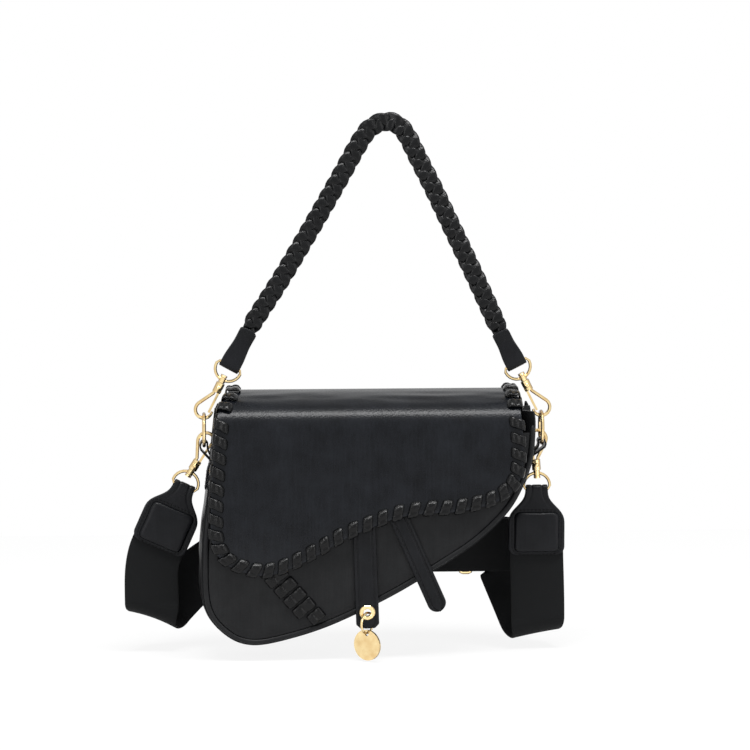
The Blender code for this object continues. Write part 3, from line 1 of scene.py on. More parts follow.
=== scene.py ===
# Crossbody bag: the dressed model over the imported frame.
import math

import bmesh
import bpy
from mathutils import Matrix, Vector, noise

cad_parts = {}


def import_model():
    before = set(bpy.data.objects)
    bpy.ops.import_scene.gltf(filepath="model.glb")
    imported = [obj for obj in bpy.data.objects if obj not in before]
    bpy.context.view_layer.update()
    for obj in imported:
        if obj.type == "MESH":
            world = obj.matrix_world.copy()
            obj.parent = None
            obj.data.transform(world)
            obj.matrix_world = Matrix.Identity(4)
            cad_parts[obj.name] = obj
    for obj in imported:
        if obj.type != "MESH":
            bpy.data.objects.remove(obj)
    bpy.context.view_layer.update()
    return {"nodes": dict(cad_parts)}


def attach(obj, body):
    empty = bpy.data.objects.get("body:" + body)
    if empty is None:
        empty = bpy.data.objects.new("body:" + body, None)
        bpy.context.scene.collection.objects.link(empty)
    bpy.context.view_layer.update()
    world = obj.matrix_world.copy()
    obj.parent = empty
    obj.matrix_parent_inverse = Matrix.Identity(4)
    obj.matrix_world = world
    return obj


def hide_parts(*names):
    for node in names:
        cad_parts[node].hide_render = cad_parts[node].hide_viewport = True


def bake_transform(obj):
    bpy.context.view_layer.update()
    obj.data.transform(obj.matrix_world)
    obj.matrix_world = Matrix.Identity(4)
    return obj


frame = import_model()
scene = bpy.context.scene

# Shared sizes, metres, in the bag's own frame: x from its middle, z down from the flap's top
bag = {
    "origin": Vector((-0.0109175, 0, -0.1965)),
    "width": 0.255, "height": 0.193,
    "depthTop": 0.019, "depthMiddle": 0.028, "depthBottom": 0.0245, "deepest": 0.6,
    "leather": 0.0018, "cloth": 0.0008, "gap": 0.0003, "piping": 0.002,
    "flapLayer": 0.0059, "strapLayer": 0.0021, "strapThick": 0.0020,
    "outline": [
        (0.469, -0.047), (0.478, -0.114), (0.475, -0.197), (0.468, -0.269), (0.446, -0.352),
        (0.409, -0.446), (0.361, -0.521), (0.290, -0.604), (0.192, -0.689), (0.078, -0.782),
        (-0.043, -0.865), (-0.149, -0.927), (-0.251, -0.970), (-0.345, -0.995), (-0.408, -0.982),
        (-0.459, -0.935), (-0.493, -0.876), (-0.508, -0.803), (-0.511, -0.699), (-0.508, -0.580),
        (-0.498, -0.456), (-0.487, -0.337), (-0.478, -0.207), (-0.471, -0.104), (-0.465, -0.047)],
}


def smoothThrough(points, steps):
    line = [Vector(p) for p in points]
    line = [line[0] * 2 - line[1]] + line + [line[-1] * 2 - line[-2]]
    result = []
    for i in range(1, len(line) - 2):
        a, b, c, d = line[i - 1:i + 3]
        for step in range(steps):
            t = step / steps
            result.append(0.5 * (2 * b + (c - a) * t + (2 * a - 5 * b + 4 * c - d) * t ** 2
                                 + (3 * b - a - 3 * c + d) * t ** 3))
    result.append(line[-2])
    return result


def lengthsAlong(points):
    total = [0.0]
    for a, b in zip(points, points[1:]):
        total.append(total[-1] + (b - a).length)
    return total


def pointAt(points, lengths, distance):
    distance = min(max(distance, 0.0), lengths[-1])
    low, high = 0, len(lengths) - 1
    while high - low > 1:
        middle = (low + high) // 2
        if lengths[middle] <= distance:
            low = middle
        else:
            high = middle
    span = lengths[high] - lengths[low]
    return points[low].lerp(points[high], (distance - lengths[low]) / span if span else 0.0)


def headingAt(points, lengths, distance, reach):
    return (pointAt(points, lengths, distance + reach)
            - pointAt(points, lengths, distance - reach)).normalized()


def evenly(points, spacing):
    lengths = lengthsAlong(points)
    count = max(2, round(lengths[-1] / spacing))
    return [pointAt(points, lengths, lengths[-1] * i / count) for i in range(count + 1)]


def inwardNormals(points, down=False):
    turn = -1 if down else 1
    normals = []
    for i in range(len(points)):
        along = (points[min(i + 1, len(points) - 1)] - points[max(i - 1, 0)]).normalized()
        normals.append(Vector((along.y, -along.x)) * turn)
    return normals


def insetLine(points, distance, down=False):
    return [p + n * distance for p, n in zip(points, inwardNormals(points, down))]


def crossLevel(a, b, z):
    return a.lerp(b, (z - a.y) / (b.y - a.y))


def clipBelow(points, top):
    # the run of points below a level, ended on the level itself
    first = next(i for i, p in enumerate(points) if p.y < top)
    last = max(i for i, p in enumerate(points) if p.y < top)
    start, end = Vector((points[0].x, top)), Vector((points[-1].x, top))
    if first:
        start = crossLevel(points[first - 1], points[first], top)
    if last < len(points) - 1:
        end = crossLevel(points[last], points[last + 1], top)
    return [start] + points[first:last + 1] + [end]


def spansAt(points, z):
    found = [crossLevel(a, b, z).x for a, b in zip(points, points[1:])
             if (a.y - z) * (b.y - z) <= 0.0 and a.y != b.y]
    return max(found), min(found)


def outlineOf(shares, spacing=0.0025):
    points = [(x * bag["width"], z * bag["height"]) for x, z in shares]
    return evenly(smoothThrough(points, 6), spacing)


def halfDepth(z):
    share = max(-z / bag["height"], 0.0)
    if share < bag["deepest"]:
        rise = math.sin(share / bag["deepest"] * math.pi / 2)
        return bag["depthTop"] + (bag["depthMiddle"] - bag["depthTop"]) * rise
    fall = math.cos((share - bag["deepest"]) / (1 - bag["deepest"]) * math.pi / 2)
    return bag["depthBottom"] + (bag["depthMiddle"] - bag["depthBottom"]) * fall


def distanceTo(line, p):
    best = 1.0
    for a, b in zip(line, line[1:]):
        along = b - a
        t = min(max((p - a).dot(along) / along.length_squared, 0.0), 1.0)
        best = min(best, (p - a - along * t).length)
    return best


def ease(share):
    share = min(max(share, 0.0), 1.0)
    return share * share * (3 - 2 * share)


def waver(x, y, z):
    return noise.noise(Vector((x, y, z)))


def world(x, y, z):
    return bag["origin"] + Vector((x, y, z))


def grid(columns, rows, place, size):
    # place(s, t): s to the right, t down, both 0 to 1; size is the cut's width and height
    bm = bmesh.new()
    pattern = bm.loops.layers.uv.new("pattern")
    bmesh.ops.create_grid(bm, x_segments=columns, y_segments=rows, size=0.5, calc_uvs=True)
    for face in bm.faces:
        for loop in face.loops:
            uv = loop[pattern].uv
            loop[pattern].uv = (uv.x * size[0], uv.y * size[1])
    for v in bm.verts:
        v.co = place(v.co.x + 0.5, 0.5 - v.co.y)
    return bm


def runAt(run, lengths, share):
    return pointAt(run, lengths, lengths[-1] * share)


def patch(top, bottom, left, right):
    runs = [(r, lengthsAlong(r)) for r in (top, bottom, left, right)]
    corners = top[0], top[-1], bottom[0], bottom[-1]

    def at(s, t):
        a, b = runAt(*runs[0], s), runAt(*runs[1], s)
        c, d = runAt(*runs[2], t), runAt(*runs[3], t)
        flat = corners[0] * (1 - s) * (1 - t) + corners[1] * s * (1 - t)
        flat += corners[2] * (1 - s) * t + corners[3] * s * t
        return a * (1 - t) + b * t + c * (1 - s) + d * s - flat

    return at


def split(line, cornerRight, cornerLeft):
    first = min(range(len(line)), key=lambda i: (line[i] - Vector(cornerRight)).length)
    last = min(range(len(line)), key=lambda i: (line[i] - Vector(cornerLeft)).length)
    return line[:first + 1], line[first:last + 1][::-1], line[last:][::-1]


def section(width, thick, across=8, crown=0.0, groove=None):
    half, flat = width / 2, width / 2 - thick / 2
    shares = [-1 + 2 * i / across for i in range(across + 1)]
    front = []
    for share in shares:
        rise = thick / 2 + crown * (1 - share * share)
        if groove:
            off = abs(abs(share * half) - (half - groove[0])) / groove[1]
            rise -= groove[2] * max(0.0, 1 - off * off)
        front.append((share * flat, rise))
    turn = [(math.sin(a) * thick / 2, math.cos(a) * thick / 2)
            for a in (math.pi / 4, math.pi / 2, 3 * math.pi / 4)]
    back = [(-share * flat, -thick / 2) for share in shares]
    points = front + [(flat + x, y) for x, y in turn] + back
    points += [(-flat - x, -y) for x, y in turn]
    return points


def strand(stations, shape, bm=None):
    # stations are (centre, across, face); shape(i, share) gives points of (across, out)
    bm = bm or bmesh.new()
    pattern = bm.loops.layers.uv.verify()
    first = shape(0, 0.0)
    around, rows = len(first), len(stations) - 1
    girth = lengthsAlong([Vector(p) for p in first + first[:1]])
    along = lengthsAlong([s[0] for s in stations])
    made = bmesh.ops.create_grid(bm, x_segments=around, y_segments=rows, size=0.5,
                                 calc_uvs=False)["verts"]
    faces = {f for v in made for f in v.link_faces}
    for face in faces:
        for loop in face.loops:
            k = round((loop.vert.co.x + 0.5) * around)
            i = round((0.5 - loop.vert.co.y) * rows)
            loop[pattern].uv = (girth[k], along[i])
    sections = [shape(i, i / rows) for i in range(rows + 1)]
    for v in made:
        k = round((v.co.x + 0.5) * around) % around
        i = round((0.5 - v.co.y) * rows)
        centre, across, face = stations[i]
        x, y = sections[i][k]
        v.co = centre + across * x + face * y
    bmesh.ops.remove_doubles(bm, verts=made, dist=0.0000004)
    edges = [e for e in bm.edges if e.is_boundary]
    if edges:
        bmesh.ops.holes_fill(bm, edges=edges, sides=0)
    return bm


def stationsOf(centres, acrosses):
    result = []
    for i, (centre, across) in enumerate(zip(centres, acrosses)):
        before, after = centres[max(i - 1, 0)], centres[min(i + 1, len(centres) - 1)]
        face = across.cross((after - before).normalized()).normalized()
        result.append((centre, across.normalized(), face))
    return result


def denser(stations, steps):
    centres = smoothThrough([s[0] for s in stations], steps)
    acrosses = smoothThrough([s[1] for s in stations], steps)
    widths = [p.x for p in smoothThrough([(s[2], 0, 0) for s in stations], steps)]
    return centres, [a.normalized() for a in acrosses], widths


def bevelEdges(obj, width):
    bevel = obj.modifiers.new("Edges", "BEVEL")
    bevel.width = width
    bevel.segments = 2
    bevel.limit_method = "ANGLE"
    bevel.angle_limit = math.radians(50)
    bevel.harden_normals = True


def solidWall(obj, thickness):
    solid = obj.modifiers.new("Wall", "SOLIDIFY")
    solid.thickness = thickness
    solid.offset = -1.0


def meshOf(name, bm):
    mesh = bpy.data.meshes.new(name)
    bm.to_mesh(mesh)
    bm.free()
    return mesh


def addObject(name, data):
    obj = bpy.data.objects.new(name, data)
    scene.collection.objects.link(obj)
    return obj


def newPiece(name, bm, finish, body=None, stands=(), wall=0.0, edge=0.0, fix=False):
    if fix:
        bmesh.ops.recalc_face_normals(bm, faces=bm.faces[:])
    mesh = meshOf(name, bm)
    mesh.materials.append(finishes[finish])
    mesh.shade_smooth()
    obj = addObject(name, mesh)
    if wall:
        solidWall(obj, wall)
    if edge:
        bevelEdges(obj, edge)
    if body:
        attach(obj, body)
    if stands:
        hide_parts(*stands)
    return obj


def addBead(bm, centre, axes, size, around, rows):
    turn = Matrix(axes).transposed().to_4x4()
    bmesh.ops.create_uvsphere(bm, u_segments=around, v_segments=rows, radius=1.0,
                              matrix=Matrix.Translation(centre) @ turn
                              @ Matrix.Diagonal((*size, 1)))


def stitches(name, runs, body, length=0.0022, pitch=0.0032, radius=0.00028):
    bm = bmesh.new()
    for run in runs:
        points = [p for p, face in run]
        lengths = lengthsAlong(points)
        count = int(lengths[-1] / pitch)
        for i in range(count):
            at = lengths[-1] * (i + 0.5) / count
            centre = pointAt(points, lengths, at)
            along = headingAt(points, lengths, at, pitch / 4)
            nearest = min(range(len(points)), key=lambda k: (points[k] - centre).length)
            face = run[nearest][1]
            side = along.cross(face).normalized()
            addBead(bm, centre, (along, side, face), (length / 2, radius, radius), 6, 4)
    newPiece(name, bm, "thread", body)


finishes = {}


def feed(node, sockets):
    # each input takes a plain value, or the output that drives it
    for key, value in sockets.items():
        if isinstance(value, bpy.types.NodeSocket):
            node.id_data.links.new(value, node.inputs[key])
        else:
            node.inputs[key].default_value = value
    return node


def addNode(tree, kind, sockets=None, **values):
    node = tree.nodes.new(kind)
    for key, value in values.items():
        setattr(node, key, value)
    return feed(node, sockets or {})


def combine(operation, a, b=0.5, clamp=False):
    tree = (b if isinstance(a, float) else a).id_data
    return addNode(tree, "ShaderNodeMath", {0: a, 1: b}, operation=operation,
                   use_clamp=clamp).outputs[0]


def times(a, b, clamp=False):
    return combine("MULTIPLY", a, b, clamp)


def plus(a, b):
    return combine("ADD", a, b)


def minus(a, b, clamp=False):
    return combine("SUBTRACT", a, b, clamp)


def newGroup(name, values, outputs):
    tree = bpy.data.node_groups.new(name, "ShaderNodeTree")
    tree.interface.new_socket("Vector", in_out="INPUT", socket_type="NodeSocketVector")
    for label, value in values.items():
        tree.interface.new_socket(label, in_out="INPUT",
                                  socket_type="NodeSocketFloat").default_value = value
    for label in outputs:
        tree.interface.new_socket(label, in_out="OUTPUT", socket_type="NodeSocketFloat")
    return tree, addNode(tree, "NodeGroupInput").outputs, addNode(tree, "NodeGroupOutput")


def noiseIn(vector, scale, detail=2.0, rough=0.5):
    return addNode(vector.id_data, "ShaderNodeTexNoise", {
        "Vector": vector, "Scale": scale, "Detail": detail, "Roughness": rough}).outputs["Fac"]


def leatherGroup():
    tree, given, made = newGroup("leatherSurface", {
        "Grain Scale": 1400.0, "Crease": 0.4, "Streak": 0.2}, ["Height", "Shade", "Mask"])
    cells = addNode(tree, "ShaderNodeTexVoronoi", {
        "Vector": given["Vector"], "Scale": given["Grain Scale"], "Smoothness": 0.6},
        feature="SMOOTH_F1")
    fine = noiseIn(given["Vector"], times(given["Grain Scale"], 2.3))
    folds = noiseIn(given["Vector"], 55.0, 3.0, 0.55)
    drawn = addNode(tree, "ShaderNodeMapping", {
        "Vector": given["Vector"], "Scale": (1.0, 1.0, 0.045)})
    streaks = noiseIn(drawn.outputs[0], 620.0)
    grain = plus(times(cells.outputs["Distance"], -0.9), times(fine, 0.35))
    creased = times(folds, times(given["Crease"], 4.0))
    mottled = plus(times(folds, 1.6), times(streaks, 0.8))
    feed(made, {"Height": plus(plus(grain, creased), times(streaks, given["Streak"])),
                "Shade": minus(mottled, 0.7, True), "Mask": fine})
    return tree


def weaveGroup():
    tree, given, made = newGroup("wovenThreads", {"Threads per Metre": 1100.0, "Rib": 0.6},
                                 ["Height", "Shade"])
    scaled = addNode(tree, "ShaderNodeVectorMath", {
        0: given["Vector"], "Scale": given["Threads per Metre"]}, operation="SCALE").outputs[0]
    parts = addNode(tree, "ShaderNodeSeparateXYZ", {0: scaled}).outputs
    shifted = plus(times(parts[1], 0.5), times(combine("FLOOR", parts[0]), 0.5))
    across, along = [combine("ABSOLUTE", combine("SINE", times(way, math.pi)))
                     for way in (parts[0], shifted)]
    mixed = plus(times(across, given["Rib"]), times(along, minus(1.0, given["Rib"])))
    slubs = noiseIn(scaled, 0.21)
    feed(made, {"Height": mixed, "Shade": plus(times(mixed, 0.6), times(slubs, 0.4))})
    return tree


def wearGroup():
    tree, given, made = newGroup("rubbedEdges", {"Edge": 0.0, "Amount": 0.5}, ["Mask"])
    strong = times(given["Edge"], times(noiseIn(given["Vector"], 240.0, 3.0), 1.8))
    feed(made, {"Mask": times(strong, given["Amount"], True)})
    return tree


def metalGroup():
    tree, given, made = newGroup("handledMetal", {"Amount": 0.5}, ["Height", "Smear"])
    smear = noiseIn(given["Vector"], 190.0, 3.0)
    drawn = addNode(tree, "ShaderNodeMapping", {
        "Vector": given["Vector"], "Rotation": (0.4, 0.9, 0.3), "Scale": (1.0, 0.06, 1.0)})
    lines = noiseIn(drawn.outputs[0], 2600.0, 1.0)
    feed(made, {"Height": times(lines, given["Amount"]), "Smear": times(smear, given["Amount"])})
    return tree


groups = {"leather": leatherGroup(), "weave": weaveGroup(), "wear": wearGroup(),
          "metal": metalGroup()}


def grouped(tree, group, sockets):
    return addNode(tree, "ShaderNodeGroup", sockets, node_tree=groups[group]).outputs


def newFinish(name, rough, specular, metallic=0.0, sheen=0.0):
    material = bpy.data.materials.new(name)
    material.use_nodes = True
    finishes[name] = material
    tree = material.node_tree
    shader = feed(tree.nodes["Principled BSDF"], {
        "Metallic": metallic, "Roughness": rough, "Specular IOR Level": specular,
        "Sheen Weight": sheen, "Sheen Roughness": 0.45, "Coat Weight": 0.0,
        "Coat Roughness": 0.25})
    return tree, shader, addNode(tree, "ShaderNodeTexCoord").outputs["Object"]


def colourMix(factor, dark, light):
    ends = [end if isinstance(end, bpy.types.NodeSocket) else (*end, 1.0) for end in (dark, light)]
    return addNode(factor.id_data, "ShaderNodeMix", {
        "Factor": factor, "A": ends[0], "B": ends[1]}, data_type="RGBA").outputs["Result"]


def bumped(shader, height, distance):
    bump = addNode(shader.id_data, "ShaderNodeBump", {
        "Height": height, "Distance": distance, "Strength": 1.0})
    feed(shader, {"Normal": bump.outputs[0]})


def leatherFinish(name, dark, light, rough, spread, grain, crease, streak, relief, specular, worn):
    tree, shader, spot = newFinish(name, rough, specular)
    surface = grouped(tree, "leather", {
        "Vector": spot, "Grain Scale": grain, "Crease": crease, "Streak": streak})
    edge = addNode(tree, "ShaderNodeAttribute", attribute_name="edge").outputs["Fac"]
    wear = grouped(tree, "wear", {"Vector": spot, "Edge": edge, "Amount": worn})["Mask"]
    base = colourMix(surface["Shade"], dark, light)
    roughness = plus(times(surface["Mask"], spread), rough - spread / 2)
    feed(shader, {"Base Color": colourMix(wear, base, [min(c * 3.2, 1.0) for c in light]),
                  "Roughness": minus(roughness, times(wear, 0.12))})
    bumped(shader, surface["Height"], relief)


def wovenFinish(name, dark, light, rough, threads, rib, relief, sheen, specular):
    tree, shader, spot = newFinish(name, rough, specular, sheen=sheen)
    pattern = addNode(tree, "ShaderNodeUVMap", uv_map="pattern").outputs[0]
    weave = grouped(tree, "weave", {
        "Vector": pattern, "Threads per Metre": threads, "Rib": rib})
    feed(shader, {"Base Color": colourMix(weave["Shade"], dark, light)})
    bumped(shader, weave["Height"], relief)


def metalFinish(name, dark, light, rim, rough, amount):
    tree, shader, spot = newFinish(name, rough, 0.5, metallic=1.0)
    metal = grouped(tree, "metal", {"Vector": spot, "Amount": amount})
    patchy = times(minus(metal["Smear"], 0.24), 3.0, True)
    # rim is a painted dark reflection: the base colour turns to it where the surface turns away
    # from the view
    facing = addNode(tree, "ShaderNodeLayerWeight").outputs["Facing"]
    paintedDarkReflection = times(combine("POWER", facing, 1.3), 1.3, True)
    feed(shader, {"Base Color": colourMix(paintedDarkReflection, colourMix(patchy, dark, light), rim),
                  "Roughness": plus(times(metal["Smear"], 0.16), rough)})
    bumped(shader, metal["Height"], 0.000012)


leatherFinish("flapLeather", (0.0008, 0.0012, 0.0022), (0.0074, 0.0086, 0.0114), 0.26, 0.10,
              820.0, 0.14, 0.60, 0.00008, 0.17, 0.35)
leatherFinish("bodyLeather", (0.0070, 0.0073, 0.0080), (0.0130, 0.0134, 0.0143), 0.38, 0.08,
              1500.0, 0.20, 0.12, 0.00006, 0.12, 0.35)
leatherFinish("tabLeather", (0.0040, 0.0043, 0.0052), (0.0090, 0.0095, 0.0112), 0.34, 0.10,
              1500.0, 0.18, 0.10, 0.00006, 0.12, 0.55)
leatherFinish("laceLeather", (0.0004, 0.0004, 0.0006), (0.0020, 0.0022, 0.0026), 0.20, 0.12,
              900.0, 0.90, 0.10, 0.00020, 0.20, 0.80)
leatherFinish("braidLeather", (0.0008, 0.0009, 0.0012), (0.0046, 0.0050, 0.0056), 0.24, 0.12,
              900.0, 0.90, 0.10, 0.00014, 0.18, 0.60)
wovenFinish("strapWebbing", (0.0050, 0.0053, 0.0057), (0.0150, 0.0156, 0.0162), 0.80, 1250.0,
            0.55, 0.00022, 0.05, 0.08)
wovenFinish("cloth", (0.012, 0.012, 0.014), (0.030, 0.030, 0.034), 0.85, 2600.0, 0.5, 0.00010,
            0.10, 0.20)
leatherFinish("thread", (0.0010, 0.0010, 0.0012), (0.0030, 0.0030, 0.0034), 0.60, 0.10,
              4200.0, 0.10, 0.10, 0.00008, 0.12, 0.0)
# the third colour of each metal is its painted dark reflection, laid on where the surface turns
# away from the view
metalFinish("gold", (0.78, 0.56, 0.27), (0.94, 0.76, 0.42), (0.10, 0.042, 0.014), 0.08, 0.8)
metalFinish("steel", (0.52, 0.52, 0.54), (0.66, 0.66, 0.68), (0.20, 0.20, 0.21), 0.22, 0.8)
for obj in frame["nodes"].values():
    for held in obj.material_slots:
        kind = held.material.name if held.material else ""
        for start, metal in (("gold", "gold"), ("snap", "steel")):
            if kind.startswith(start):
                held.material = finishes[metal]
print("finishes done")

shot = {"turn": math.radians(3.5), "lift": math.radians(7.0), "distance": 3.0,
        "frameWidth": 0.57, "right": 0.00152, "up": 0.00988, "sensor": 36.0}
turn, lift = shot["turn"], shot["lift"]
towards = Vector((-math.sin(turn) * math.cos(lift), -math.cos(turn) * math.cos(lift),
                  math.sin(lift)))
viewRight = Vector((math.cos(turn), -math.sin(turn), 0))
viewUp = Vector((math.sin(turn) * math.sin(lift), math.cos(turn) * math.sin(lift),
                 math.cos(lift)))
target = bag["origin"] + viewRight * shot["right"] + viewUp * shot["up"]
cameraData = bpy.data.cameras.new("shot")
cameraData.sensor_width = shot["sensor"]
cameraData.lens = shot["sensor"] * shot["distance"] / shot["frameWidth"]
camera = addObject("shot", cameraData)
camera.location = target + towards * shot["distance"]
camera.rotation_euler = (-towards).to_track_quat("-Z", "Y").to_euler()
scene.camera = camera
scene.view_settings.view_transform = "Standard"

studio = {
    "lamps": [("overheadBox", (0.05, -0.55, 1.15), (1.3, 0.30), 29.0),
              ("leftBox", (-1.00, -1.10, 0.20), (0.6, 1.3), 6.5),
              ("rightBox", (1.05, -1.05, 0.10), (0.6, 1.3), 5.0),
              ("backBox", (0.3, 1.5, 0.9), (1.4, 0.8), 1.5)],
    "aim": bag["origin"] + Vector((0, 0, -0.04)),
    "floorDrop": 0.402, "floorSize": 1.15, "floorShade": 0.92, "floorGlow": 0.86, "fill": 0.34,
}
for name, place, size, power in studio["lamps"]:
    lamp = bpy.data.lights.new(name, "AREA")
    lamp.shape = "RECTANGLE"
    lamp.size, lamp.size_y = size
    lamp.energy = power
    lampObject = addObject(name, lamp)
    lampObject.location = place
    aim = studio["aim"] - Vector(place)
    lampObject.rotation_euler = aim.to_track_quat("-Z", "Y").to_euler()

backdrop = bpy.data.worlds.new("studioWhite")
scene.world = backdrop
backdrop.use_nodes = True
air = backdrop.node_tree
seen = addNode(air, "ShaderNodeLightPath").outputs
either = combine("MAXIMUM", seen["Is Camera Ray"],
                 combine("MAXIMUM", seen["Is Glossy Ray"], seen["Is Transmission Ray"]))
feed(air.nodes["Background"], {
    "Color": (1.0, 1.0, 1.0, 1.0),
    "Strength": plus(times(either, 1.0 - studio["fill"]), studio["fill"])})

floorMesh = bmesh.new()
bmesh.ops.create_grid(floorMesh, x_segments=4, y_segments=4, size=studio["floorSize"] / 2,
                      matrix=Matrix.Translation((0, 0, -studio["floorDrop"])))
floor = addObject("floor", meshOf("floor", floorMesh))
floorFinish = bpy.data.materials.new("paleFloor")
floorFinish.use_nodes = True
ground = floorFinish.node_tree
pale = feed(ground.nodes["Principled BSDF"], {
    "Base Color": (*[studio["floorShade"]] * 3, 1.0), "Roughness": 0.8})
watched = addNode(ground, "ShaderNodeLightPath").outputs["Is Camera Ray"]
softened = addNode(ground, "ShaderNodeMixShader", {
    0: times(watched, studio["floorGlow"]), 1: pale.outputs[0],
    2: addNode(ground, "ShaderNodeEmission").outputs[0]})
feed(ground.nodes["Material Output"], {"Surface": softened.outputs[0]})
floor.data.materials.append(floorFinish)
print("camera, lamps and floor done")

shell = {"frontTop": -0.032, "backTop": -0.0105, "frontPipingTop": -0.0265,
         "backPipingTop": -0.0135, "cornerRight": (0.104, -0.086), "cornerLeft": (-0.111, -0.184),
         "sag": 0.0011, "sagWidth": 0.025, "seamRoll": 0.0009, "rollWidth": 0.006,
         "pipingSunk": 0.0002, "pipingPoints": 14}
bodyLine = outlineOf(bag["outline"])
panelLine = insetLine(bodyLine, 2 * bag["piping"] + bag["gap"])
panelEven = evenly(panelLine, 0.006)


def sagAt(x, z, margin):
    uneven = waver(x * 21, 3.1, z * 21) + 0.5 * waver(x * 47, 7.7, z * 47)
    return shell["sag"] * ease(margin / shell["sagWidth"]) * (0.45 + 0.6 * uneven)


def panelDepth(x, z):
    margin = distanceTo(panelEven, Vector((x, z)))
    rolled = shell["seamRoll"] * (1 - ease(margin / shell["rollWidth"]))
    return halfDepth(z) + bag["leather"] - rolled - max(sagAt(x, z, margin), 0.0)


def addPanel(name, side, top, stands):
    edge = clipBelow(panelLine, top)
    right, bottom, left = split(edge, shell["cornerRight"], shell["cornerLeft"])
    at = patch([edge[-1], edge[0]], bottom, left, right)

    def place(s, t):
        p = at(s if side < 0 else 1 - s, t)
        return world(p.x, side * panelDepth(p.x, p.y), p.y)

    bm = grid(96, 72, place, (bag["width"], bag["height"]))
    newPiece(name, bm, "bodyLeather", "bag", stands, wall=bag["leather"], edge=0.0004)


addPanel("frontShell", -1, shell["frontTop"], ["front_panel"])
addPanel("backShell", 1, shell["backTop"], ["back_panel"])


def addPiping(name, side, top, stands):
    line = evenly(clipBelow(insetLine(bodyLine, bag["piping"]), top), 0.0022)
    normals = inwardNormals(line)
    centres = [world(p.x, side * (halfDepth(p.y) - shell["pipingSunk"]), p.y) for p in line]
    stations = [(c, Vector((n.x, 0, n.y)), Vector((0, side, 0))) for c, n in zip(centres, normals)]
    count = shell["pipingPoints"]
    ring = [(math.cos(a), math.sin(a)) for a in (2 * math.pi * k / count for k in range(count))]

    def shape(i, share):
        swell = 1 + 0.05 * waver(i * 0.6, side, 0)
        tail = min(1.0, 0.35 + min(i, len(line) - 1 - i) * 0.35)
        return [(x * bag["piping"] * swell * tail, y * bag["piping"] * swell * tail)
                for x, y in ring]

    newPiece(name, strand(stations, shape), "bodyLeather", "bag", stands, fix=True)


addPiping("frontPipingCord", -1, shell["frontPipingTop"], ["front_piping"])
addPiping("backPipingCord", 1, shell["backPipingTop"], ["back_piping"])

gusset = {"fold": 0.013, "foldEnd": -0.062, "top": -0.0165, "setback": 0.0005,
          "hookRoom": 0.0016, "roomFrom": -0.085, "bulge": 0.0012, "bulgeFrom": -0.082,
          "crease": 0.0005, "easing": 0.02}


def gussetFold(z):
    share = (z - gusset["foldEnd"]) / (gusset["top"] - gusset["foldEnd"])
    return gusset["fold"] * min(max(share, 0.0), 1.0)


def addGusset():
    line = evenly(clipBelow(insetLine(bodyLine, gusset["setback"]), gusset["top"]), 0.0025)
    normals = inwardNormals(line)
    count = len(line) - 1

    def place(s, t):
        i = round(s * count)
        p, normal = line[i], normals[i]
        share = 2 * t - 1
        half = halfDepth(p.y) - shell["pipingSunk"] - bag["piping"] - bag["gap"]
        side = -1 if p.x > 0 else 1
        room = ease((p.y - gusset["roomFrom"]) / gusset["easing"])
        fold = gussetFold(p.y) * math.cos(share * math.pi / 2)
        fold += gusset["hookRoom"] * room * (1 - share ** 4)
        low = ease((gusset["bulgeFrom"] - p.y) / gusset["easing"])
        soft = gusset["bulge"] * low * (1 - share * share)
        crease = gusset["crease"] * waver(s * 40, share * 1.2, 0.3) * (1 - share * share)
        out = soft + crease * low
        return world(p.x + side * fold - normal.x * out, share * half, p.y - normal.y * out)

    bm = grid(count, 20, place, (0.52, 0.055))
    newPiece("gussetStrip", bm, "bodyLeather", "bag", ["gusset"], wall=bag["leather"], edge=0.0003)


addGusset()
print("body shell done")

lining = {"top": -0.034, "setback": 0.0018, "hemShare": 0.07, "bottomRise": 0.003,
          "slack": 0.0009, "columns": 128}
pocket = {"width": 0.110, "top": -0.062, "height": 0.060, "centre": -0.012, "standOff": 0.0011,
          "gape": 0.0022, "folds": 0.0004, "hem": 0.03}


def addLining():
    inner = insetLine(bodyLine, 2 * bag["piping"] + 2 * bag["gap"])
    bottom = min(p.y for p in inner) + lining["bottomRise"]

    def ringAt(z, hem):
        right, left = spansAt(inner, z)
        half = halfDepth(z) - (bag["gap"] if hem else lining["setback"])
        ring = []
        for end, way in ((right, 1), (left, -1)):
            ring += [(end - way * gussetFold(z) * math.cos(s * math.pi / 2) * (abs(s) < 1),
                      way * s * half) for s in (-1.0, -0.5, 0.0, 0.5, 1.0)]
        return [Vector(p) for p in ring + ring[:1]]

    def place(s, t):
        z = lining["top"] + (bottom - lining["top"]) * t
        ring = ringAt(z, t < lining["hemShare"])
        p = runAt(ring, lengthsAlong(ring), s % 1.0)
        middle = Vector((sum(spansAt(inner, z)) / 2, 0))
        uneven = 1 + waver(math.cos(s * 6.283) * 4, math.sin(s * 6.283) * 4, z * 55)
        slack = lining["slack"] * ease((t - 0.1) / 0.2) * uneven
        p = p + (middle - p).normalized() * slack
        return world(p.x, p.y, z)

    bm = grid(lining["columns"], 44, place, (0.58, 0.17))
    bmesh.ops.remove_doubles(bm, verts=bm.verts[:], dist=0.000001)
    rims = [e for e in bm.edges if e.is_boundary]
    low = [e for e in rims if max(v.co.z for v in e.verts) < bag["origin"].z + bottom + 0.001]
    bmesh.ops.holes_fill(bm, edges=low, sides=0)
    bmesh.ops.recalc_face_normals(bm, faces=bm.faces[:])
    # the cloth's wall grows inwards, and its inner side is the one that shows
    newPiece("liningBag", bm, "cloth", "bag", ["lining"], wall=bag["cloth"])


addLining()


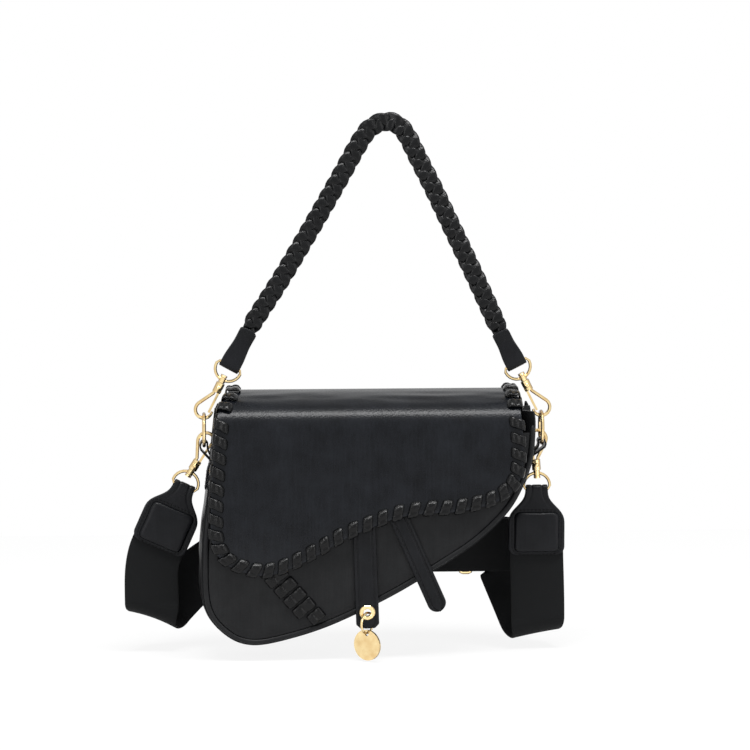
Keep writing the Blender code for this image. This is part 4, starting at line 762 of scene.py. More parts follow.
def addPocket():
    depth = lining["setback"] + bag["cloth"] + bag["gap"] + pocket["standOff"]

    def place(s, t):
        x = pocket["centre"] + pocket["width"] * (0.5 - s)
        z = pocket["top"] - pocket["height"] * t
        gape = pocket["gape"] * math.sin(math.pi * s) ** 0.8 * (1 - t) ** 2
        folds = pocket["folds"] * (1 + waver(s * 7, t * 5, 2.0)) * math.sin(math.pi * s)
        return world(x, halfDepth(z) - depth - gape - folds, z)

    bm = grid(44, 26, place, (pocket["width"], pocket["height"]))
    bmesh.ops.reverse_faces(bm, faces=bm.faces[:])
    newPiece("innerPocket", bm, "cloth", "bag", ["inner_pocket"], wall=bag["cloth"], edge=0.0002)
    runs = []
    near, far = pocket["hem"], 1 - pocket["hem"]
    rim = [Vector(p) for p in ((near, 0.0), (near, far), (far, far), (far, 0.0))]
    for a, b in zip(rim, rim[1:]):
        spots = [place(*a.lerp(b, i / 24)) for i in range(25)]
        runs.append([(p + Vector((0, -0.0009, 0)), Vector((0, -1, 0))) for p in spots])
    stitches("pocketStitches", runs, "bag")


addPocket()
print("lining done")

flap = {
    "hingeZ": -0.016, "seamZ": -0.028, "row": 0.010, "backLeft": -0.1095, "backRight": 0.1090,
    "cornerRight": (0.1035, -0.0755), "cornerLeft": (-0.1085, -0.131), "liningInset": 0.013,
    "edge": [
        (0.432, -0.070), (0.435, -0.120), (0.438, -0.170), (0.439, -0.223), (0.438, -0.295),
        (0.422, -0.365), (0.384, -0.412), (0.329, -0.445), (0.235, -0.469), (0.145, -0.474),
        (0.067, -0.490), (-0.010, -0.526), (-0.090, -0.570), (-0.169, -0.632), (-0.265, -0.694),
        (-0.335, -0.714), (-0.404, -0.694), (-0.456, -0.653), (-0.485, -0.575), (-0.488, -0.477),
        (-0.484, -0.342), (-0.474, -0.181), (-0.470, -0.120), (-0.464, -0.070)],
    "topSides": [(0.0, 0.00, 0.00), (0.30, 0.00, 0.02), (0.55, 0.06, 0.12), (0.70, 0.26, 0.36),
                 (0.85, 0.66, 0.72), (1.0, 1.00, 1.00)],
    "profile": [(1.320, 1.000), (1.290, 0.640), (1.140, 0.260), (0.600, 0.115), (0.211, 0.138),
                (-0.105, 0.194), (-0.421, 0.300), (-0.684, 0.419), (-0.921, 0.544),
                (-1.105, 0.675), (-1.274, 0.838), (-1.421, 1.038), (-1.537, 1.275),
                (-1.621, 1.575), (-1.674, 1.938)],
    "roll": 0.0013, "rollEnd": -0.075, "frontFrom": -0.038,
    "softness": 0.0009, "creases": 0.0005, "creaseWidth": 0.02, "edgeRoll": 0.0004,
    "edgeRollWidth": 0.003, "wornWidth": 0.0025, "bendReach": 0.0035,
    "liningLead": 0.0075, "liningTop": 0.00325, "liningRight": (0.092, -0.068),
    "liningLeft": (-0.098, -0.122),
}
outerLayer = bag["flapLayer"] + bag["leather"]
profile = [(halfDepth(flap["seamZ"]) + 2 * bag["leather"] + bag["gap"], flap["seamZ"])]
profile += [(y * bag["depthTop"], z * flap["hingeZ"]) for y, z in flap["profile"]]
lower = flap["frontFrom"]
while lower > -bag["height"]:
    rolled = flap["roll"] * ease((lower - flap["rollEnd"]) / (flap["frontFrom"] - flap["rollEnd"]))
    profile.append((-(halfDepth(lower) + outerLayer + rolled), lower))
    lower -= flap["row"]
profile = smoothThrough(profile, 6)
profileLengths = lengthsAlong(profile)


def downTo(z):
    for i in range(len(profile) - 1, 0, -1):
        a, b = profile[i - 1], profile[i]
        if a.y >= z >= b.y:
            share = (a.y - z) / (a.y - b.y)
            return profileLengths[i - 1] + share * (profileLengths[i] - profileLengths[i - 1])
    return 0.0


def onFlap(x, v, u):
    at = pointAt(profile, profileLengths, v)
    along = headingAt(profile, profileLengths, v, flap["row"] / 4)
    return world(x, at.x + along.y * u, at.y - along.x * u)


hingeV = downTo(flap["hingeZ"])
frontLine = [Vector((p.x, downTo(p.y)))
             for p in clipBelow(outlineOf(flap["edge"]), flap["hingeZ"])]
leftTop, rightTop = [
    smoothThrough([(back + (front.x - back) * way[column], hingeV * way[0])
                   for way in flap["topSides"]], 6)
    for back, front, column in ((flap["backLeft"], frontLine[-1], 1),
                                (flap["backRight"], frontLine[0], 2))]
flapEdge = rightTop[:-1] + frontLine + leftTop[:-1][::-1]
flapEdgeEven = evenly(flapEdge, 0.006)


def flapPatch(edge, *corners):
    right, bottom, left = split(edge, *[(x, downTo(z)) for x, z in corners])
    return patch([edge[-1], edge[0]], bottom, left, right)


def addFlapSheet():
    at = flapPatch(flapEdge, flap["cornerRight"], flap["cornerLeft"])
    marks = []

    def place(s, t):
        p = at(s, t)
        margin = distanceTo(flapEdgeEven, p)
        marks.append(1 - ease(margin / flap["wornWidth"]))
        full = ease(margin / 0.03) * ease((p.y - hingeV) / 0.02)
        soft = full * flap["softness"] * waver(p.x * 17, p.y * 15, 1.0)
        creases = ease(1 - abs(p.y - hingeV * 0.72) / flap["creaseWidth"]) * flap["creases"]
        soft += creases * waver(p.x * 30, p.y * 150, 4.0)
        roll = flap["edgeRoll"] * (1 - ease(margin / flap["edgeRollWidth"]))
        return onFlap(p.x, p.y, soft - roll)

    bm = grid(110, 92, place, (0.235, 0.19))
    sheet = newPiece("flapSheet", bm, "flapLeather", None, ["flap_top", "flap_front"])
    worn = sheet.data.attributes.new("edge", "FLOAT", "POINT")
    worn.data.foreach_set("value", marks)
    solidWall(sheet, bag["leather"])
    bevelEdges(sheet, 0.0005)
    hinge = onFlap(0, hingeV, 0)
    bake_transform(sheet)


addFlapSheet()


def addFlapLining():
    inner = [p for p in insetLine(frontLine, flap["liningInset"], down=True)
             if p.y > hingeV + flap["liningLead"]]
    top = hingeV + flap["liningTop"]
    edge = [Vector((inner[0].x, top))] + inner + [Vector((inner[-1].x, top))]
    at = flapPatch(edge, flap["liningRight"], flap["liningLeft"])

    def place(s, t):
        p = at(1 - s, t)
        return onFlap(p.x, p.y, -bag["leather"] - bag["gap"] - bag["cloth"])

    bm = grid(60, 44, place, (0.2, 0.12))
    newPiece("flapLiningSheet", bm, "cloth", "flap", ["flap_lining"], wall=bag["cloth"],
             edge=0.0002)


addFlapLining()

lace = {"width": 0.0082, "thick": 0.0013, "pitch": 0.0117, "lean": 0.0040, "inset": 0.0092,
        "lap": 0.0012, "puff": 0.0018, "sectionPoints": 16, "lead": 0.0068,
        "topLead": 0.0035, "topFrom": 0.33, "topTo": 0.96, "topExtra": 0.0006}


def edgeMap(line):
    lengths = lengthsAlong(line)
    normals = inwardNormals(line, down=True)

    def place(s, d, u):
        base = min(max(s, 0.0), lengths[-1])
        i = 0
        while i < len(lengths) - 2 and lengths[i + 1] < base:
            i += 1
        t = (base - lengths[i]) / (lengths[i + 1] - lengths[i])
        at = line[i].lerp(line[i + 1], t)
        along = (line[i + 1] - line[i]).normalized()
        normal = normals[i].lerp(normals[i + 1], t).normalized()
        at = at + along * (s - base) + normal * d
        return onFlap(at.x, at.y, u)

    return place, lengths[-1]


def roundedBand(width, thick, points, power=2.5):
    ring = []
    for k in range(points):
        angle = 2 * math.pi * (k + 0.5) / points
        c, s = math.cos(angle), math.sin(angle)
        ring.append((math.copysign(abs(c) ** (2 / power), c) * width / 2,
                     math.copysign(abs(s) ** (2 / power), s) * thick / 2))
    return ring


def laceLoop(bm, place, s, nextStart, lean, frontU, backU, seed):
    inset, lap, puff, thick = lace["inset"], lace["lap"], lace["puff"], lace["thick"]
    # each turn comes out of its slot, lies over the edge with two soft humps and goes back behind
    run = [(s, inset, -bag["leather"] / 2, 0.55, 0.0),
           (s, inset - 0.0001, frontU * 0.55, 0.80, 0.10)]
    for i in range(10):
        share = i / 9
        first = math.sin(min(share / 0.62, 1.0) * math.pi) ** 0.5
        second = 0.72 * math.sin(max((share - 0.60) / 0.40, 0.0) * math.pi) ** 0.6
        width = 1.0 - 0.10 * math.exp(-((share - 0.61) / 0.06) ** 2)
        run.append((s + lean * share, inset - 0.0006 + (-lap - inset + 0.0006) * share,
                    frontU, width, max(first, second)))
    run.append((s + lean, -lap - thick * 0.35, (frontU + backU) / 2, 0.96, 0.15))
    for i in range(5):
        share = i / 4
        run.append((s + lean + (nextStart - s - lean) * share, -lap + (inset + lap) * share,
                    backU, 0.95, 0.0))
    stations, sections, points = [], [], []
    for at, d, u, width, rise in run:
        lifted = u + (puff * rise / 2 if u > 0 else 0)
        points.append([place(at + beside, d, lifted) for beside in (0, -0.001, 0.001)]
                      + [width, rise])
    for i, (centre, before, after, width, rise) in enumerate(points):
        along = points[min(i + 1, len(points) - 1)][0] - points[max(i - 1, 0)][0]
        across = (after - before).normalized()
        face = across.cross(along).normalized()
        stations.append((centre, across, face))
        wobble = 1 + 0.05 * waver(seed * 3.7, i * 0.45, 0)
        sections.append((lace["width"] * width * wobble, thick + puff * rise))
    strand(stations, lambda i, share: roundedBand(*sections[i], lace["sectionPoints"]), bm)


def addLacing(name, line, lead, tail, lean, body, stands, extra=0.0):
    place, length = edgeMap(line)
    count = int((length - lead - tail) / lace["pitch"])
    step = (length - lead - tail) / count
    frontU = bag["gap"] + lace["thick"] / 2 + extra
    backU = -bag["leather"] - bag["gap"] - lace["thick"] / 2 - extra
    bm = bmesh.new()
    for k in range(count + 1):
        s = lead + step * k
        after = s + step if k < count else s + lean
        laceLoop(bm, place, s, after, lean, frontU, backU, k)
    newPiece(name, bm, "laceLeather", body, stands, fix=True)


addLacing("flapLacing", frontLine, lace["lead"], lace["lead"] + lace["lean"], lace["lean"],
          "flap", ["flap_lacing"])
for side, run in (("Right", rightTop), ("Left", leftTop[::-1])):
    laced = [p for p in run if lace["topFrom"] < p.y / hingeV < lace["topTo"]]
    addLacing(f"topLacing{side}", laced, lace["topLead"], lace["topLead"], 0.0, "bag",
              [f"flap_top_lacing_{side.lower()}"], extra=lace["topExtra"])
print("flap and lacing done")

crossBars = {"length": 0.0190, "width": 0.0092, "pitch": 0.0106, "count": 6,
             "start": (-0.0818, -0.1319), "tilt": math.radians(41), "lastShare": 0.42,
             "sunk": 0.0011}


def addCrossBars():
    tilt, steps = crossBars["tilt"], 14
    barWay = Vector((math.cos(tilt), math.sin(tilt)))
    rowWay = Vector((math.sin(tilt), -math.cos(tilt)))
    bm = bmesh.new()
    for k in range(crossBars["count"]):
        middle = Vector(crossBars["start"]) + rowWay * crossBars["pitch"] * k
        half = crossBars["length"] / 2
        low = half * (crossBars["lastShare"] if k == crossBars["count"] - 1 else 1.0)
        stations, sections = [], []
        for i in range(steps + 1):
            share = i / steps
            p = middle + barWay * (half - (half + low) * share)
            lump = math.sin((share * 2) % 1.0 * math.pi) ** 0.5
            dive = ease(share / 0.07) * ease((1 - share) / 0.07)
            rise = bag["gap"] * 0.5 + 0.0006 + lace["puff"] * 0.45 * lump
            y = panelDepth(p.x, p.y) + rise * dive - crossBars["sunk"] * (1 - dive)
            stations.append((world(p.x, -y, p.y), Vector((rowWay.x, 0, rowWay.y)),
                             Vector((0, -1, 0))))
            sections.append((crossBars["width"] * (0.9 + 0.1 * dive) * (0.93 + 0.07 * lump),
                             0.0012 + lace["puff"] * 0.9 * lump * dive))
        strand(stations, lambda i, share: roundedBand(*sections[i], 14), bm)
    newPiece("crossLacing", bm, "laceLeather", "bag", ["front_cross_lacing"], fix=True)


addCrossBars()

frontStraps = {
    "charm": {"top": (-0.0091, -0.0890), "end": (-0.0057, -0.1796), "width": 0.0175,
              "chamfer": 0.0030, "lift": 0.0012, "liftTop": -0.135, "liftEnd": -0.158},
    "slant": {"top": (0.0141, -0.0870), "end": (0.0494, -0.1672), "width": 0.0142},
    "eyeRise": 0.0123, "eyeHole": 0.0039, "crown": 0.00055, "rows": 44,
    "groove": (0.0023, 0.0011, 0.00085),
}


def charmDepth(z):
    charm = frontStraps["charm"]
    return halfDepth(z) + charm["lift"] * ease((z - charm["liftTop"])
                                               / (charm["liftEnd"] - charm["liftTop"]))


def strapPiece(name, stands, spec, depthAt, endWidth):
    top, end = Vector(spec["top"]), Vector(spec["end"])
    down, length = (end - top).normalized(), (end - top).length
    rightward = Vector((-down.y, 0, down.x))
    half, rows = bag["strapThick"] / 2, frontStraps["rows"]
    spots = [length * (1 - (1 - i / rows) ** 1.6) for i in range(rows + 1)]
    centres = []
    for at in spots:
        p = top + down * at
        centres.append(world(p.x, -(depthAt(p.y) + bag["strapLayer"] + half), p.y))
    stations = stationsOf(centres, [rightward] * len(centres))
    stations = [(c, a, -f if f.y > 0 else f) for c, a, f in stations]

    def shape(i, share):
        width = max(endWidth(length - spots[i]), 0.0012)
        return section(width, bag["strapThick"], 30, frontStraps["crown"], frontStraps["groove"])

    bm = strand(stations, shape)
    return newPiece(name, bm, "tabLeather", "bag", stands, fix=True), stations, spots


def cutHole(obj, place, radius):
    hole = bmesh.new()
    bmesh.ops.create_cone(hole, cap_ends=True, segments=40, radius1=radius, radius2=radius,
                          depth=0.02, matrix=place @ Matrix.Rotation(math.pi / 2, 4, "X"))
    tool = addObject("holeShape", meshOf("holeShape", hole))
    cut = obj.modifiers.new("Hole", "BOOLEAN")
    cut.operation = "DIFFERENCE"
    cut.object = tool
    bpy.context.view_layer.update()
    depsgraph = bpy.context.evaluated_depsgraph_get()
    obj.data = bpy.data.meshes.new_from_object(obj.evaluated_get(depsgraph), depsgraph=depsgraph)
    obj.modifiers.remove(cut)
    bpy.data.objects.remove(tool, do_unlink=True)


def addFrontStraps():
    charm, slant = frontStraps["charm"], frontStraps["slant"]

    def charmEnd(left):
        return charm["width"] - 2 * max(charm["chamfer"] - left, 0.0)

    def slantEnd(left):
        half = slant["width"] / 2
        if left >= half:
            return slant["width"]
        return 2 * math.sqrt(max(half * half - (half - left) ** 2, 0.0))

    crown, inset = frontStraps["crown"], frontStraps["groove"][0]
    piece, stations, spots = strapPiece("charmStrap", ["charm_strap"], charm, charmDepth, charmEnd)
    top, end = Vector(charm["top"]), Vector(charm["end"])
    eye = end - (end - top).normalized() * frontStraps["eyeRise"]
    slope = (charmDepth(eye.y + 0.001) - charmDepth(eye.y - 0.001)) / 0.002
    middle = charmDepth(eye.y) + bag["strapLayer"] + bag["strapThick"] / 2
    cutHole(piece, Matrix.Translation(world(eye.x, -middle, eye.y))
            @ Matrix.Rotation(math.atan(slope), 4, "X"), frontStraps["eyeHole"])

    def seams(endWidth, stop):
        return [[(c + a * side * (endWidth(spots[-1] - at) / 2 - inset) + f * crown, f)
                 for (c, a, f), at in zip(stations, spots) if at < spots[-1] - stop]
                for side in (-1, 1)]

    runs = seams(lambda left: charm["width"], 0.004)
    piece, stations, spots = strapPiece("slantedStrap", ["slanted_strap"], slant, halfDepth,
                                        slantEnd)
    outer, inner = seams(slantEnd, 0.0012)
    runs.append(outer + inner[::-1])
    stitches("frontStrapStitches", runs, "bag", length=0.0024, pitch=0.0034,
             radius=0.0004)


addFrontStraps()
print("front straps done")

rig = {"ringX": 0.1285, "ringZ": -0.0310, "ringRadius": 0.0121, "ringWire": 0.0014,
       "hookWire": 0.0014, "jawRadius": 0.0065, "jawOut": 0.0027, "jawDrop": 0.0200,
       "barrelHalf": 0.0040, "rivet": 0.0017, "rivetOut": 0.0032, "bossHalf": 0.0021,
       "dWire": 0.00125, "dDepth": 0.0122, "strapAngle": math.radians(66), "strapShift": 0.0018,
       "handleTilt": math.radians(26), "leftTilt": math.radians(33),
       "rightTilt": math.radians(-4.6), "leftRingTilt": math.radians(24)}


def hookPlaces():
    reach = rig["ringRadius"] - rig["ringWire"] - rig["hookWire"] - bag["gap"]
    top = Vector((0, 0, rig["ringZ"] + reach))
    low = Vector((0, reach * math.sin(rig["strapAngle"]),
                  rig["ringZ"] - reach * math.cos(rig["strapAngle"])))
    tilts = {"handleLeft": (-1, 1, rig["handleTilt"], top, 0.0),
             "handleRight": (1, 1, rig["handleTilt"], top, 0.0),
             "strapLeft": (-1, -1, -rig["leftTilt"], low, rig["strapShift"]),
             "strapRight": (1, -1, rig["rightTilt"], low, rig["strapShift"])}
    bosses, barrels = {}, {}
    for name, (side, rise, tilt, hold, shift) in tilts.items():
        up = Vector((-side * math.sin(tilt), 0, rise * math.cos(tilt)))
        out = Vector((side * math.cos(tilt), 0, rise * math.sin(tilt)))
        drop = math.sqrt(rig["jawRadius"] ** 2 - shift ** 2)
        jaw = hold + Vector((side * rig["ringX"] - side * shift, 0, rise * drop))
        barrel = jaw - out * rig["jawOut"] + up * rig["jawDrop"]
        bosses[name] = barrel + up * (rig["barrelHalf"] + bag["gap"] + rig["bossHalf"])
        barrels[name] = barrel, up
    return bosses, barrels


bosses, barrels = hookPlaces()


def addRivets():
    # a domed head on the front and back of each hook's block
    for name, (barrel, up) in barrels.items():
        bm = bmesh.new()
        for side in (-1, 1):
            facing = Vector((0, side, 0))
            centre = bag["origin"] + barrel + facing * rig["rivetOut"]
            addBead(bm, centre, (up.cross(facing), up, facing),
                    (rig["rivet"], rig["rivet"], rig["rivet"] * 0.55), 24, 12)
        part, side = ("handle", name[6:]) if name.startswith("handle") else ("strap", name[5:])
        newPiece(f"{name}Rivets", bm, "gold", f"{part}_hook_{side.lower()}")


addRivets()


def tabStations(bar, direction, across, widths, leather, innerGap):
    radius = rig["dWire"] + bag["gap"] + leather / 2
    closed = innerGap / 2 + leather / 2
    facing = direction.cross(across).normalized()
    face = []
    for distance, width in widths:
        off = radius + (closed - radius) * min(distance / (3 * radius), 1.0)
        face.append((distance, off, width))
    stations = [(bar + direction * s + facing * off, across, w) for s, off, w in reversed(face)]
    for i in range(1, 12):
        angle = math.pi * i / 12
        arc = facing * math.cos(angle) - direction * math.sin(angle)
        stations.append((bar + arc * radius, across, widths[0][1]))
    stations += [(bar + direction * s - facing * off, across, w) for s, off, w in face]
    return stations, facing


def cornerCut(corner, left):
    # how much a rounded end takes off the width, this far from the end
    near = max(corner - left, 0.0)
    return 2 * (corner - math.sqrt(max(corner ** 2 - near ** 2, 0.0)))


def addFolded(name, stations, leather, body, stands, columns, groove):
    centres, acrosses, widths = zip(*stations)
    run = stationsOf([bag["origin"] + c for c in centres], acrosses)
    bm = strand(run, lambda i, share: section(max(widths[i], leather * 1.1), leather, columns,
                                              0.0, groove))
    newPiece(name, bm, "tabLeather", body, stands, fix=True)


sideTabs = {"width": 0.0110, "leather": 0.0012, "leftEnd": -0.076, "rightEnd": -0.066,
            "groove": (0.0014, 0.0005, 0.00015)}


def addSideTab(name, side, endZ, stands):
    leather, half = sideTabs["leather"], sideTabs["width"] / 2
    rise = rig["ringRadius"] - math.sqrt(rig["ringRadius"] ** 2 - half ** 2)
    radius = rig["ringWire"] + 2 * bag["gap"] + leather / 2
    wireZ = rig["ringZ"] - rig["ringRadius"]
    loopX = side * rig["ringX"]
    seat = []
    for i in range(13):
        z = wireZ - sideTabs["width"] + (endZ - wireZ + sideTabs["width"]) * i / 12
        right, left = spansAt(bodyLine, z)
        drawnIn = gussetFold(z) * (1 - half / halfDepth(z))
        face = (right if side > 0 else left) - side * (gusset["setback"] + drawnIn)
        seat.append(Vector((face, z)))
    inner = [p + Vector((side * (bag["gap"] * 2 + leather / 2), 0)) for p in seat]
    outer = [p + Vector((side * (leather + bag["gap"]), 0)) for p in inner]
    bend = [Vector((loopX - side * math.cos(angle) * radius,
                    wireZ + rise + math.sin(angle) * radius))
            for angle in (math.pi * i / 16 for i in range(17))]
    lowIn, lowOut = [Vector((loopX + way * side * radius, wireZ - radius)) for way in (-1, 1)]
    line = inner[::-1] + [lowIn] + bend + [lowOut] + outer
    line = evenly(smoothThrough(line, 2), 0.0012)
    stations = [(Vector((p.x, 0, p.y)), Vector((0, 1, 0)), sideTabs["width"]) for p in line]
    addFolded(name, stations, leather, "bag", stands, 10, sideTabs["groove"])
    seam = half - sideTabs["groove"][0]
    return [[(world(p.x + side * (leather / 2 - 0.00005), y, p.y), Vector((side, 0, 0)))
             for p in outer[1:]] for y in (-seam, seam)]


sideRuns = addSideTab("sideTabLeft", -1, sideTabs["leftEnd"], ["side_tab_left"])
sideRuns += addSideTab("sideTabRight", 1, sideTabs["rightEnd"], ["side_tab_right"])
stitches("sideTabStitches", sideRuns, "bag", length=0.0019, pitch=0.0027)
print("side tabs done")

grip = {
    "span": 0.1985, "rise": 0.2025, "tabWidth": 0.0158, "tabLeather": 0.0016,
    "path": [(-0.4795, 0.2095), (-0.448, 0.265), (-0.362, 0.396), (-0.279, 0.531), (-0.198, 0.667),
             (-0.120, 0.802), (-0.060, 0.908), (-0.020, 0.967), (0.017, 0.992), (0.055, 1.000),
             (0.093, 0.989), (0.128, 0.950), (0.170, 0.868), (0.228, 0.755), (0.287, 0.634),
             (0.350, 0.504), (0.413, 0.371), (0.467, 0.254), (0.4925, 0.197)],
    "cycle": 0.0300, "sway": 0.0037, "weave": 0.0017, "strandWidth": 0.0092,
    "strandThick": 0.0032, "endLength": 0.010, "rowsPerCycle": 16,
    "tabCorner": 0.0030, "tabSpread": 0.0030, "tabOverlap": 0.0035, "tabGap": 0.0006,
    "tabGroove": (0.0014, 0.0006, 0.0002),
}


def addBraid():
    points = smoothThrough([(x * grip["span"], 0, z * grip["rise"]) for x, z in grip["path"]], 8)
    lengths = lengthsAlong(points)
    total = lengths[-1]
    cycles = round(total / grip["cycle"])
    rows = cycles * grip["rowsPerCycle"]
    bm, backward = bmesh.new(), Vector((0, 1, 0))
    for number in range(3):
        phase = 2 * math.pi * number / 3
        centres, fronts = [], []
        for i in range(rows + 1):
            at = total * i / rows
            turned = 2 * math.pi * cycles * i / rows + phase
            out = backward.cross(headingAt(points, lengths, at, 0.002)).normalized()
            squeeze = 0.55 + 0.45 * ease(min(at, total - at) / grip["endLength"])
            centre = pointAt(points, lengths, at) + out * math.sin(turned) * grip["sway"] * squeeze
            centre += backward * math.sin(2 * turned) * grip["weave"] * squeeze
            centres.append(bag["origin"] + centre)
            fronts.append(out)
        stations = []
        for i, centre in enumerate(centres):
            along = (centres[min(i + 1, rows)] - centres[max(i - 1, 0)]).normalized()
            face = along.cross(fronts[i]).normalized()
            across = face.cross(along).normalized()
            stations.append((centre, across, face))

        def shape(i, share):
            at = total * share
            squeeze = 0.72 + 0.28 * ease(min(at, total - at) / grip["endLength"])
            side = abs(math.sin(2 * math.pi * cycles * share + phase))
            width = grip["strandWidth"] * (1.0 - 0.16 * side) * squeeze
            thick = grip["strandThick"] * (0.92 + 0.16 * side) * squeeze
            return roundedBand(width, thick, 16, 2.6)

        strand(stations, shape, bm)
    newPiece("handleBraid", bm, "braidLeather", "handle", ["handle_braid"], fix=True)
    return points[0], points[-1]


ends = dict(zip(("Left", "Right"), addBraid()))
for side in ("Left", "Right"):
    boss = bosses[f"handle{side}"]
    direction = (ends[side] - boss).normalized()
    bar = boss + direction * rig["dDepth"]
    across = Vector((direction.z, 0, -direction.x))
    reach = (ends[side] - bar).length + grip["tabOverlap"]
    widths = []
    for at in [reach * i / 16 for i in range(17)]:
        width = grip["tabWidth"] * (1 - 0.16 * ease((at / reach - 0.15) / 0.5))
        widths.append((at, width - cornerCut(grip["tabCorner"], reach - at)))
    stations, facing = tabStations(bar, direction, across, widths, grip["tabLeather"],
                                   grip["tabGap"])
    opened = []
    for centre, along, width in stations:
        out = (centre - bar).dot(direction)
        way = 1 if (centre - bar).dot(facing) > 0 else -1
        spread = grip["tabSpread"] * ease((out - reach) / grip["endLength"] + 1)
        opened.append((centre + facing * way * spread, along, width))
    addFolded(f"handleTab{side}", opened, grip["tabLeather"], "handle",
              [f"handle_tab_{side.lower()}"], 14, grip["tabGroove"])
print("handle done")

strap = {
    "webWidth": 0.0410, "webThick": 0.0014, "leather": 0.0016, "length": 0.0510,
    "overlap": 0.0200, "padWidth": 0.0355, "padHeight": 0.0320, "padCentre": 0.655,
    "endCorner": 0.0062,
    "leftFold": 0.0125, "leftFoldZ": -0.1645, "leftShift": 0.0045, "leftSlope": math.radians(-21),
    "rightFold": 0.0140, "rightFoldZ": -0.1795, "rightShift": 0.0015,
    "rightSlope": math.radians(11),
    "backY": 0.0340, "backZ": -0.1275, "loopX": 0.1040, "loopRadius": 0.0055,
    "rise": 0.034, "ringX": 0.0745, "ringHalf": 0.0045, "ringWire": 0.0015, "sliderBar": 0.0011,
    "groove": (0.0040, 0.0010, 0.00045), "padRise": 0.0021, "padCrown": 0.0006,
    "padPinch": 0.035, "padRim": 0.22, "seamOut": 0.0013, "foldPinch": 0.12,
    "tabShape": [(0.0, 0.0165), (0.13, 0.0181), (0.22, 0.0245), (0.30, 0.0330), (0.38, 0.0400),
                 (0.47, 0.0430), (1.0, 0.0430)],
}


def foldStations(top, travel, across, side, steps=16):
    # the half turn at the bottom of a hanging loop, slanted by the side's slope
    slope, radius = strap[side + "Slope"], strap[side + "Fold"]
    axis = Vector((math.cos(slope), 0, math.sin(slope)))
    slide = travel.dot(axis)
    cross = travel - axis * slide
    pace = slide / cross.length
    cross.normalize()
    depth = axis.cross(cross)
    if depth.y < 0:
        depth = -depth
    sign = 1 if axis.cross(cross).dot(depth) > 0 else -1
    stations = []
    for i in range(steps + 1):
        angle = math.pi * i / steps
        offset = cross * math.sin(angle) * radius + depth * (1 - math.cos(angle)) * radius
        offset += axis * pace * radius * angle
        stations.append((top + offset, Matrix.Rotation(sign * angle, 3, axis) @ across,
                         strap["webWidth"] * (1 - strap["foldPinch"] * math.sin(angle) ** 3)))
    upright = Vector((0, 0, 1 if stations[-1][1].z > 0 else -1))
    return stations, Matrix.Rotation(sign * math.pi, 3, axis) @ travel, upright


def blendStations(start, end, steps):
    # both ends give the centre, the way that it runs and the line across the webbing
    (c0, t0, a0), (c1, t1, a1) = start, end
    pull = (c1 - c0).length * 0.35 * 3
    stations = []
    for i in range(1, steps):
        t = i / steps
        centre = c0 * (2 * t ** 3 - 3 * t ** 2 + 1) + t0 * ((t ** 3 - 2 * t ** 2 + t) * pull)
        centre += c1 * (3 * t ** 2 - 2 * t ** 3) + t1 * ((t ** 3 - t ** 2) * pull)
        stations.append((centre, a0.lerp(a1, ease(t)).normalized(), strap["webWidth"]))
    return stations


def arcStations(centre, radius, start, end, upright, steps=10):
    stations = []
    for i in range(steps + 1):
        angle = math.radians(start + (end - start) * i / steps)
        stations.append((centre + Vector((math.cos(angle), math.sin(angle), 0)) * radius, upright,
                         strap["webWidth"]))
    return stations


def tabWidthAt(share):
    marks = strap["tabShape"]
    for (a, w0), (b, w1) in zip(marks, marks[1:]):
        if share <= b:
            t = (share - a) / (b - a)
            return w0 + (w1 - w0) * t
    return marks[-1][1]


def addStrapTab(side, bar, direction):
    across = Vector((-direction.z, 0, direction.x))
    length, corner = strap["length"], strap["endCorner"]
    spots = [length * i / 30 for i in range(27)]
    spots += [length - corner * 0.9 * (1 - i / 8) ** 1.5 for i in range(9)]
    widths = []
    for at in sorted(set(spots)):
        soft = sum(tabWidthAt(min(max(at / length + d, 0.0), 1.0))
                   for d in (-0.05, -0.02, 0, 0.02, 0.05)) / 5
        widths.append((at, soft - cornerCut(corner, length - at)))
    innerGap = strap["webThick"] + 2 * bag["gap"]
    stations, facing = tabStations(bar, direction, across, widths, strap["leather"], innerGap)
    addFolded(f"strapTab{side}", stations, strap["leather"], "strap",
              [f"strap_tab_{side.lower()}"], 26, strap["groove"])
    return across, innerGap


def roundNorm(a, b, power):
    return (abs(a) ** power + abs(b) ** power) ** (1 / power)


def addPad(side, bar, direction, across, innerGap):
    outward = Vector((0, -1, 0))
    middle = bar + direction * (strap["length"] * strap["padCentre"])
    middle = middle + outward * (innerGap / 2 + strap["leather"] + bag["gap"])
    halfW, halfH = strap["padWidth"] / 2, strap["padHeight"] / 2

    def place(s, t):
        a, b = 2 * s - 1, 2 * t - 1
        far = max(abs(a), abs(b))
        if far:
            norm = roundNorm(a, b, 7.0)
            a, b = a * far / norm, b * far / norm
        pinch = math.cos(math.pi / 2 * min(abs(a), abs(b)) / max(far, 0.001))
        pull = 1 - strap["padPinch"] * pinch
        rim = 1 - min((1 - far) / strap["padRim"], 1.0)
        height = strap["padRise"] * (1 - rim ** 2) ** 0.5
        height += strap["padCrown"] * (1 - far ** 2)
        p = middle + across * a * halfW * pull + direction * b * halfH * pull
        return bag["origin"] + p + outward * height

    bm = grid(40, 36, place, (strap["padWidth"], strap["padHeight"]))
    bmesh.ops.holes_fill(bm, edges=[e for e in bm.edges if e.is_boundary], sides=0)
    pad = newPiece(f"strapPad{side}", bm, "tabLeather", "strap", [f"strap_tab_pad_{side.lower()}"],
                   fix=True)
    run = []
    out = strap["seamOut"]
    for k in range(97):
        angle = 2 * math.pi * k / 96
        c, s = math.cos(angle), math.sin(angle)
        norm = roundNorm(c, s, 6.0)
        p = middle + across * c / norm * (halfW + out) + direction * s / norm * (halfH + out)
        run.append((bag["origin"] + p + outward * 0.00005, outward))
    return run


